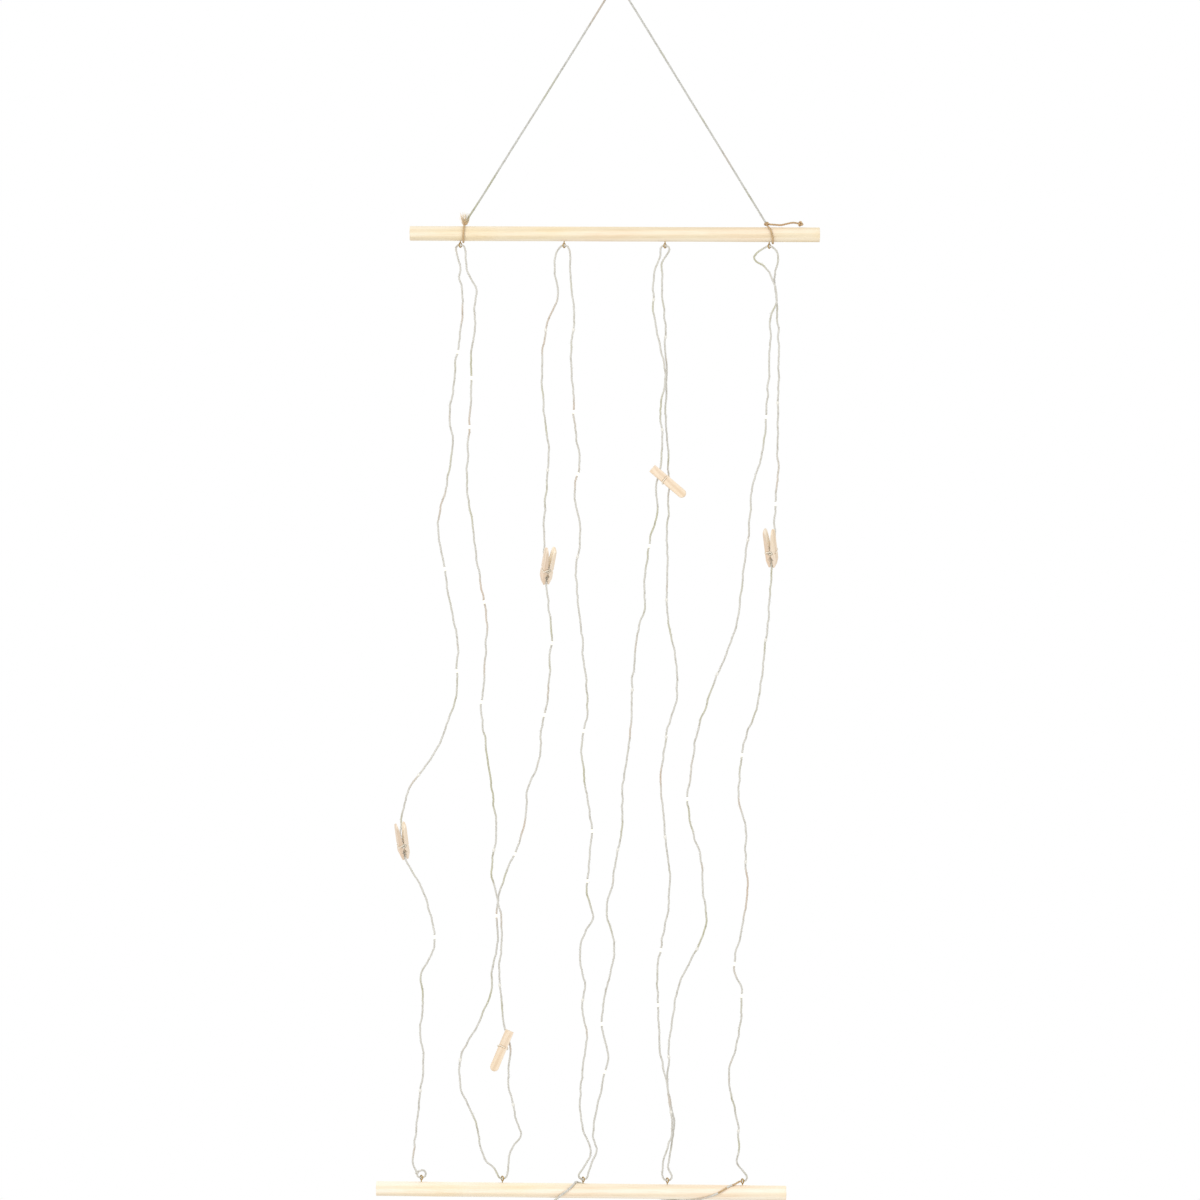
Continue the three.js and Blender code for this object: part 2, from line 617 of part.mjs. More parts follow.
const clips = [
  { run: 0, row: 853, grip: 4.2, across: [0.97, 0.22, 0], leanOut: -36, jaws: -1 },
  { run: 2, row: 578, grip: 4.2, across: [0.94, 0.34, 0], leanOut: -40, jaws: -1 },
  { run: 4, row: 474, grip: 7.2, across: [0, -1, 0], slope: [0.7625, 0, -0.647] },
  { run: 1, row: 1036, grip: 4.6, across: [0, -1, 0], slope: [-0.386, 0, -0.922] },
  { run: 7, row: 561, grip: 4.2, across: [0.94, -0.34, 0], leanOut: -36, jaws: -1 },
];

// One leg's outline: along is from the jaws to the handles, out is from the clip's middle plane.
function legOutline() {
  const shape = new THREE.Shape();
  const seatHalf = Math.sqrt(seatRadius ** 2 - throatHalfGap ** 2);
  const seatBack = Math.sqrt(seatRadius ** 2 - handleHalfGap ** 2);
  const angle = (half, level) => Math.atan2(level, half);
  shape.moveTo(0, jawHalfGap);
  shape.lineTo(notchAt - notchRadius, jawHalfGap);
  shape.absarc(notchAt, jawHalfGap, notchRadius, Math.PI, 0, true);
  shape.lineTo(jawLength, jawHalfGap);
  shape.lineTo(jawLength + throatStep, throatHalfGap);
  shape.lineTo(coilAt - seatHalf, throatHalfGap);
  shape.absarc(
    coilAt,
    0,
    seatRadius,
    Math.PI - angle(seatHalf, throatHalfGap),
    angle(seatBack, handleHalfGap),
    true,
  );
  shape.lineTo(handleFrom, handleHalfGap);
  shape.lineTo(clipLength, handleEndHalfGap);
  shape.lineTo(clipLength, legThickness - handleRound);
  shape.lineTo(clipLength - handleRound, legThickness);
  shape.lineTo(coilAt + armGrooveWidth / 2, legThickness);
  shape.lineTo(coilAt + armGrooveWidth / 2, legThickness - armGrooveDepth);
  shape.lineTo(coilAt - armGrooveWidth / 2, legThickness - armGrooveDepth);
  shape.lineTo(coilAt - armGrooveWidth / 2, legThickness);
  shape.lineTo(jawSlope, legThickness);
  shape.lineTo(0, jawHalfGap + jawTipThickness);
  shape.closePath();
  return shape;
}

function leg() {
  return new THREE.ExtrudeGeometry(legOutline(), {
    depth: clipWidth,
    bevelEnabled: false,
    curveSegments: 5,
  }).translate(0, 0, -clipWidth / 2);
}

// The spring is one wire: an arm over one leg, the coil between the legs, and an arm over the other.
function springRoute() {
  const armOut = legThickness - armGrooveDepth + gap + springWire / 2;
  const side = clipWidth / 2 + gap + springWire / 2;
  const arm = [
    [springRadius, 0.6 * springRadius, side - 0.1],
    [springRadius - 0.1, 1.35 * springRadius, side + 0.1],
    [0.6 * springRadius, armOut - 0.9, side + 0.2],
    [0.1, armOut, side - 0.2],
    [0, armOut, clipWidth / 2 - springWire],
    [0, armOut, 0],
    [0, armOut, -springArmReach],
  ];
  const points = arm.slice().reverse().map(([u, v, w]) => [u, -v, -w]);
  const steps = springTurns * springSteps;
  for (let i = 0; i <= steps; i += 1) {
    const turn = springTurns * Math.PI * ((2 * i) / steps - 1);
    const across = springCoilHalf * ((2 * i) / steps - 1);
    points.push([springRadius * Math.cos(turn), springRadius * Math.sin(turn), across]);
  }
  points.push(...arm);
  return new Route(points.map(([u, v, w]) => new THREE.Vector3(coilAt + u, v, w)));
}

const spring = springRoute();
const springTube = tube(spring, springWire, spring.points.length - 1, springSides);

// The least gap between two turns of the coil, measured on its points.
function leastTurnGap() {
  let least = Infinity;
  const points = spring.getPoints(4 * (spring.points.length - 1));
  const apart = (2 * Math.PI * springRadius) / 2;
  const lengths = points.map((p, i) => (i ? p.distanceTo(points[i - 1]) : 0));
  const along = [];
  lengths.reduce((sum, length, i) => (along[i] = sum + length), 0);
  points.forEach((p, i) => points.slice(i + 1).forEach((q, k) => {
    if (along[i + 1 + k] - along[i] > apart) least = Math.min(least, p.distanceTo(q));
  }));
  return least - springWire;
}
console.log(`least gap in a clip spring: ${leastTurnGap().toFixed(2)} mm`);

// The clip's own frame: X from jaws to handles, Y across the jaws, Z along its width.
function clipFrame(clip) {
  const { place, along } = runs[clip.run].path.atHeight((apexPixel[1] - clip.row) * mmPerPixel);
  const across = new THREE.Vector3(...clip.across);
  across.addScaledVector(along, -across.dot(along)).normalize();
  let length;
  if (clip.slope) {
    length = new THREE.Vector3(...clip.slope);
  } else {
    // The clip lies along its string and leans out of the picture by this angle.
    length = along.clone().multiplyScalar(clip.jaws);
    length.applyAxisAngle(across, THREE.MathUtils.degToRad(clip.leanOut * clip.jaws));
  }
  length.addScaledVector(across, -across.dot(length)).normalize();
  const width = length.clone().cross(across);
  const frame = new THREE.Group();
  frame.matrixAutoUpdate = false;
  frame.matrix.makeBasis(length, across, width);
  frame.matrix.setPosition(place.clone().addScaledVector(length, -clip.grip));
  return frame;
}

clips.forEach((clip, i) => {
  const frame = clipFrame(clip);
  part.add(frame);
  add(`clip_${i + 1}_leg`, leg().rotateX(Math.PI), clipWood, frame);
  add(`clip_${i + 1}_lever`, leg(), clipWood, frame);
  add(`clip_${i + 1}_spring`, springTube, steelWire, frame);
});

// Lead and battery box

// Turns round the dowel from its top, front first, with pixels across for each, and the reach from its axis.
const leadWind = [
  [12, 734.6], [36, 729.4], [66, 723.4], [94, 716], [122, 706], [150, 694], [180, 680], [210, 662],
  [240, 640], [270, 616], [292, 598], [312, 585], [332, 578.4], [360, 576], [385, 574.4], [412, 571.8],
  [440, 567.6], [468, 562.2],
];
const leadReach = dowelRadius + gap + stringDiameter / 2;
const dropFromAxis = 12;      // where the lead starts to hang straight down
const leadPieceGap = 0.7;     // lets the box swing without its lead's two pieces meeting
const leadLeavesAt = 555;     // pixels across, where the lead leaves the dowel
const leadHangsAt = 547;

function leadOnDowel() {
  const eye = bottomEyeOffsets[4];
  const points = [gap / 2, bendLead].map((reach) => onDowel(bottomFrame, eye - reach, 0, holeLine));
  points.push(onDowel(bottomFrame, eye - bendRadius, -0.8, holeLine - 0.6));
  for (const [turn, x] of leadWind) {
    const angle = THREE.MathUtils.degToRad(turn);
    const along = (x - apexPixel[0]) * mmPerPixel - bottomDowelShift;
    points.push(onDowel(
      bottomFrame,
      along,
      -leadReach * Math.sin(angle),
      leadReach * Math.cos(angle),
    ));
  }
  return points;
}

const leadPoints = leadOnDowel();
const hangAt = (leadHangsAt - apexPixel[0]) * mmPerPixel - bottomDowelShift;
const leaveAt = (leadLeavesAt - apexPixel[0]) * mmPerPixel - bottomDowelShift;
leadPoints.push(onDowel(bottomFrame, leaveAt, -leadReach * 0.45, -leadReach * 1.06));
const leadSplit = onDowel(bottomFrame, (leaveAt + 2 * hangAt) / 3, -leadReach * 0.14, -dropFromAxis + 1);
leadPoints.push(leadSplit);
const hangTop = onDowel(bottomFrame, hangAt, 0, -dropFromAxis - 3);
const boxTop = new THREE.Vector3(hangTop.x, 0, -bottomDowelDrop - boxDropBelowDowel);
add('lead_on_dowel', tube(new Route(leadPoints), stringDiameter), rope);
const dropPoints = [
  leadSplit.clone().add(hangTop.clone().sub(leadSplit).setLength(leadPieceGap)),
  hangTop,
  new THREE.Vector3(hangTop.x, 0, (2 * hangTop.z + boxTop.z) / 3),
  new THREE.Vector3(hangTop.x, 0, (hangTop.z + 2 * boxTop.z) / 3),
  boxTop.clone().setZ(boxTop.z - boxWall),
];
add('lead_drop', tube(new Route(dropPoints), stringDiameter), rope);

function roundedColumn(width, depth, corner, low, high) {
  const x = width / 2;
  const y = depth / 2;
  const shape = new THREE.Shape();
  shape.moveTo(-x + corner, -y);
  shape.lineTo(x - corner, -y);
  shape.absarc(x - corner, -y + corner, corner, -Math.PI / 2, 0, false);
  shape.lineTo(x, y - corner);
  shape.absarc(x - corner, y - corner, corner, 0, Math.PI / 2, false);
  shape.lineTo(-x + corner, y);
  shape.absarc(-x + corner, y - corner, corner, Math.PI / 2, Math.PI, false);
  shape.lineTo(-x, -y + corner);
  shape.absarc(-x + corner, -y + corner, corner, Math.PI, 1.5 * Math.PI, false);
  return new THREE.ExtrudeGeometry(shape, { depth: high - low, bevelEnabled: false, curveSegments: 3 })
    .translate(0, 0, low);
}

// The box's own frame: its middle in X and Y, its bottom at Z 0, its front at -Y.
const box = new THREE.Group();
box.position.set(boxTop.x, 0, boxTop.z - boxHeight);
part.add(box);
const frontFace = -boxDepth / 2;
const coverBack = frontFace + coverThickness;
const innerHalf = boxWidth / 2 - boxWall;
const innerBack = boxDepth / 2 - boxWall;
const cellMiddle = coverBack + gap + cellDiameter / 2;
const switchRow = (bayHeight + boxHeight) / 2;

function makeShell() {
  const tongueRoom = coverBack + tongueDepth + gap;
  const cuts = [
    block([-innerHalf, tongueRoom, boxWall], [innerHalf, innerBack, bayHeight - boxWall]),
    block([-innerHalf, frontFace - overrun, -overrun], [innerHalf, tongueRoom + gap, bayHeight - boxWall]),
    block(
      [-boxWidth, frontFace - overrun, -overrun],
      [boxWidth, coverBack + gap, bayHeight + gap],
    ),
    block(
      [-innerHalf, frontFace + 2 * boxWall, bayHeight],
      [innerHalf, innerBack, boxHeight - boxWall],
    ),
    block(
      [-(switchWidth / 2 + gap), frontFace - overrun, switchRow - switchHeight / 2 - gap],
      [switchWidth / 2 + switchTravel + gap, frontFace + 2 * boxWall + overrun, switchRow + switchHeight / 2 + gap],
    ),
    post(stringDiameter / 2 + 1.3 * gap, boxHeight - boxWall - overrun, boxHeight + overrun, 12),
  ];
  let body = solid(roundedColumn(boxWidth, boxDepth, boxCorner, 0, boxHeight));
  for (const cut of cuts) body = body.subtract(solid(cut));
  return geometryOf(body);
}
add('box_shell', makeShell(), casing, box);

function makeCover() {
  let body = solid(roundedColumn(boxWidth, boxDepth, boxCorner, 0, bayHeight));
  body = body.subtract(solid(block([-boxWidth, coverBack, -overrun], [boxWidth, boxDepth, bayHeight + overrun])));
  for (const side of [-1, 1]) {
    const outer = side * (innerHalf - gap);
    const inner = outer - side * tongueWidth;
    body = body.add(solid(block(
      [Math.min(outer, inner), frontFace + coverThickness / 2, 0],
      [Math.max(outer, inner), coverBack + tongueDepth, bayHeight - boxWall - gap],
    )));
  }
  for (let i = 0; i < coverRibs; i += 1) {
    const low = coverRibPitch * (i + 1);
    body = body.add(solid(block(
      [-boxWidth / 4, frontFace - coverRibHeight, low],
      [boxWidth / 4, frontFace + coverThickness / 2, low + coverRibWidth],
    )));
  }
  return geometryOf(body);
}
add('box_cover', makeCover(), casing, box);

function makeSwitch() {
  const inside = frontFace + 2 * boxWall + gap;
  const knob = block(
    [-switchWidth / 2, frontFace - switchStand, -switchHeight / 2],
    [switchWidth / 2, inside + switchFlange / 2, switchHeight / 2],
  );
  const flange = block(
    [-switchWidth / 2 - switchFlange, inside, -switchHeight / 2 - switchFlange],
    [switchWidth / 2 + switchFlange, inside + switchFlange, switchHeight / 2 + switchFlange],
  );
  return geometryOf(solid(knob).add(solid(flange))).translate(0, 0, switchRow);
}
add('box_switch', makeSwitch(), cellSkin, box);

// A cell with its nub up, from its flat end at Z 0.
function cell() {
  const r = cellDiameter / 2;
  const nub = nubDiameter / 2;
  const edge = cellDiameter / 20;
  const profile = [
    [0, 0], [r - edge, 0], [r, edge], [r, cellLength - edge], [r - edge, cellLength], [nub, cellLength],
    [nub, cellLength + nubHeight], [0, cellLength + nubHeight],
  ].map(([x, y]) => new THREE.Vector2(x, y));
  return new THREE.LatheGeometry(profile, 16).rotateX(Math.PI / 2);
}

const bayLow = boxWall + gap;
const bayHigh = bayHeight - boxWall - gap;

const upCell = add('cell_1', cell(), cellSkin, box);
upCell.position.set(-cellSpacing / 2, cellMiddle, bayHigh - plateRoom - cellTotal);
const downCell = add('cell_2', cell(), cellSkin, box);
downCell.position.set(cellSpacing / 2, cellMiddle, bayLow + plateRoom + cellTotal);
downCell.rotation.x = Math.PI;

// A plate between two places across the box, with its low face at this height.
function plate(left, right, low) {
  const half = contactWidth / 2;
  return block(
    [left - half, cellMiddle - half, low],
    [right + half, cellMiddle + half, low + contactThickness],
  );
}
const halfSpacing = cellSpacing / 2;
const highPlate = bayHigh - contactThickness;
add('contact_plate_left', plate(-halfSpacing, -halfSpacing, highPlate), steelWire, box);
add('contact_plate_right', plate(halfSpacing, halfSpacing, highPlate), steelWire, box);
add('contact_bridge', plate(-halfSpacing, halfSpacing, bayLow), steelWire, box);

// A conical spring from a plate to a cell's flat end, standing on Z 0.
function contactSpring() {
  const steps = contactSpringTurns * springSteps;
  const rise = contactSpringRoom - contactSpringWire - gap;
  const points = [];
  for (let i = 0; i <= steps; i += 1) {
    const share = i / steps;
    const turn = 2 * Math.PI * contactSpringTurns * share;
    const radius = contactSpringRadius + (contactSpringTipRadius - contactSpringRadius) * share;
    points.push(new THREE.Vector3(
      radius * Math.cos(turn),
      radius * Math.sin(turn),
      contactSpringWire / 2 + gap + rise * share,
    ));
  }
  return tube(new Route(points), contactSpringWire, steps, springSides);
}

const lowSpring = contactSpring().translate(-halfSpacing, cellMiddle, bayLow + contactThickness);
const highSpring = contactSpring().rotateX(Math.PI).translate(halfSpacing, cellMiddle, highPlate);
add('contact_spring_1', lowSpring, steelWire, box);
add('contact_spring_2', highSpring, steelWire, box);

export default part;
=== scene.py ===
"""Photo clip string lights: cords, knots, lights, wood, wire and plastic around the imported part.

Everything is in metres in the part's own frame: +Z up, the front towards -Y, and the origin at the top
of the hanger twine.
"""

import math
import random

import bpy
from mathutils import Matrix, Vector
from mathutils.noise import noise as wander


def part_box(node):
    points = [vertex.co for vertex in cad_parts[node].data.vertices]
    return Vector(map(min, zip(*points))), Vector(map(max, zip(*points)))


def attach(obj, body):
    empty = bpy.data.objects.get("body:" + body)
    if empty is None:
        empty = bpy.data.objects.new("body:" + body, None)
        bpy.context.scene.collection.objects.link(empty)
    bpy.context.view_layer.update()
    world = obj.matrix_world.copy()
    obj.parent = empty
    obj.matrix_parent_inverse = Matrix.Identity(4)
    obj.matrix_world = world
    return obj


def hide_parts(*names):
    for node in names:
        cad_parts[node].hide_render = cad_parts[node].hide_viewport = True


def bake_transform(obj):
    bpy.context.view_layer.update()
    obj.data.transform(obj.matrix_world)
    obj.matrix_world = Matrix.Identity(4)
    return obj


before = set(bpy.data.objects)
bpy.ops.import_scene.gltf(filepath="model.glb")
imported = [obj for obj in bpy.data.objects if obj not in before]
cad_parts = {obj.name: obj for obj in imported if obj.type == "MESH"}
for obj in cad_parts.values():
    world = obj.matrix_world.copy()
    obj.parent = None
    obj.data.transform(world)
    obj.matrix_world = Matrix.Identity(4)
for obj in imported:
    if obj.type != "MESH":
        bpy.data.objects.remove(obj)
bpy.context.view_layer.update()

bl_info = {
    "name": "Photo Clip String Lights",
    "version": (1, 0, 0),
    "blender": (4, 5, 0),
    "location": "3D View > Sidebar > String Lights",
    "description": "Dresses a hanging photo display: twine, light string, dowels, clips and battery box",
    "category": "Object",
}

MM = 0.001

# Scale of the photograph, for places that are named by pixel
DOWEL_LENGTH = 332 * MM
DOWEL_LENGTH_PIXELS = 409.88
PIXEL = DOWEL_LENGTH / DOWEL_LENGTH_PIXELS
APEX_PIXEL = (617, -15.85)
PHOTO_CENTRE_PIXEL = (600, 600)
PHOTO_WIDTH_PIXELS = 1200

# Dowels and eyes
TOP_DOWEL = {"pixel": (614.78, 234.1, 0), "tilt": math.radians(0.2)}
BOTTOM_DOWEL = {"pixel": (581.2, 1190.75, 0), "tilt": math.radians(0.64)}
DOWEL_RADIUS = 6 * MM
DOWEL_END_ROUND = 0.7 * MM
DOWEL_SIDES = 48
DOWEL_STATIONS = 60
TOP_EYES = [pixels * PIXEL for pixels in (-154.4, -50.6, 50.3, 154.5)]
BOTTOM_EYES = [pixels * PIXEL for pixels in (-160, -78.9, 1.8, 86, 161.2)]
EYE_WIRE = 1 * MM
EYE_TURN = math.radians(30)
EYE_OPENING = math.radians(16)
EYE_STEPS = 32
EYE_NECK = 1 * MM
EYE_SHANK = 7 * MM
SHANK_STEPS = 40
GAP = 0.3 * MM
EASY_GAP = 0.35 * MM

# Cords
CORD_DIAMETER = 1.4 * MM
BEND_RADIUS = 3 * MM
BEND_LEAD = 0.6 * MM
BEND_STEPS = 4
ROPE_STEP = 0.75 * MM
ROPE_SIDES = 9
ROPE_STRANDS = 3
STRAND_DEPTH = 0.2
ROPE_SWELL = 1.24
TWINE_SWELL = 1.3
FIBRE_RADIUS = 0.07 * MM

# Small kinks of the limp string. Each wave has its count to a kink's length and its share of the
# reach, and the kinks across and out of the picture come from two layers of the same noise.
KINK_LENGTH = 10 * MM
KINK_REACH = 1.1 * MM
KINK_OUT = 0.6
KINK_FADE = 9 * MM
KINK_WAVE_SHARES = [(1, 1), (2.6, 0.3)]
KINK_LAYERS = (0.5, 7.5)

# Lamps of the light string
LAMP_HALF_LENGTH = 1.7 * MM
LAMP_RADIUS = 1.35 * MM
LAMP_END_RADIUS = 0.35 * MM

# Screw eyes: the ring's radius, how far its middle stands off the dowel, and how far off the axis
EYE_RADIUS = (CORD_DIAMETER / 2 + EASY_GAP + EYE_WIRE / 2) / math.cos(EYE_TURN)
EYE_STAND = EYE_RADIUS + EYE_WIRE / 2 + EYE_NECK
HOLE_LINE = DOWEL_RADIUS + EYE_STAND

# Knots, and the twine's ties by pixels from the dowel's middle along it
KNOT_WIDTH = 4.6 * MM
KNOT_HEIGHT = 4.4 * MM
END_KNOT_WIDTH = 3.8 * MM
END_KNOT_RUN_DEGREES = 122
END_KNOT_LOOP_DEGREES = 25
TAIL_KNOT_WIDTH = 5 * MM
KNOT_STEPS = 60
KNOT_STRAND_PITCH = 6 * MM
KNOT_REACH_IN = 0.9 * MM
TAIL_REACH_IN = 0.8 * MM
TIES = {
    "left": {"knot": -149.9, "top": -149.4, "bottom": -151.4, "turn": 0.3},
    "right": {"knot": 151.8, "top": 148.5, "bottom": 158.2, "turn": -0.5},
}
TAIL_KNOT_AT = 185.8

# The tail between its two knots: its share of the way, and millimetres out from the dowel and up
TAIL_SHARES = [(0.24, -0.5, 2), (0.42, -0.9, 1.7), (0.6, -0.6, 2.8), (0.78, -0.2, 3.7)]
LOOP_OPENING_DEGREES = 28
LOOP_STEPS = 60
FRAY_FIBRES = 58

# Clips
CLIP_LENGTH = 35 * MM
CLIP_WIDTH = 7 * MM
LEG_THICKNESS = 4.2 * MM
COIL_AT = 13.6 * MM
SPRING_WIRE = 0.8 * MM
SPRING_RADIUS = 1.5 * MM
SPRING_TURNS = 4
SPRING_COIL_HALF = 3.4 * MM
SPRING_TURN_STEPS = 16
SPRING_STEP = 0.45 * MM
SPRING_ARM_REACH = 1.6 * MM
ARM_GROOVE_DEPTH = 0.6 * MM
HANDLE_ROUND_FROM = 30.5 * MM
LEG_HALF_SLICES = 6

# Wood: how close its growth rings lie, and how far its grain is drawn out along a piece
DOWEL_GRAIN = (55, 0.035)
CLIP_GRAIN = (90, 0.08)

# Battery box
CELL_NUB_RADIUS = 2.7 * MM
CELL_NUB_HEIGHT = 1.4 * MM
CELL_SIDES = 48
BOX_DROP_BELOW_DOWEL = 38 * MM
LEAD_IN_BOX = 1.5 * MM

# Lead: where it leaves the dowel, where it hangs, where it is painted browner as shade, and its bush's
# heights and radii in millimetres
LEAD_LEAVES_AT_PIXEL = 555
LEAD_HANGS_AT_PIXEL = 547
LEAD_PAINTED_SHADE_PIXELS = [(717, 726), (731, 760)]
DROP_FROM_AXIS = 12 * MM
BUSH_PROFILE = [(0, 2.9), (0.8, 2.9), (1.6, 1.9), (3.6, 1.6), (5.4, 1.35), (5.4, 1.0)]
BUSH_SIDES = 24

# Stage: the camera, the floor, and each lamp's place from the aim, its size and its power
LENS = 135
SENSOR = 36
FLOOR_HALF = 2.3
FLOOR_DROP = 1.3
LAMPS = {
    "Key": ((-1.7, -2.4, 1.1), 1.5, 27),
    "Fill": ((2.2, -2.2, 0.3), 2.4, 14),
    "Back": ((0.6, 2.6, 1.2), 2.0, 15),
}
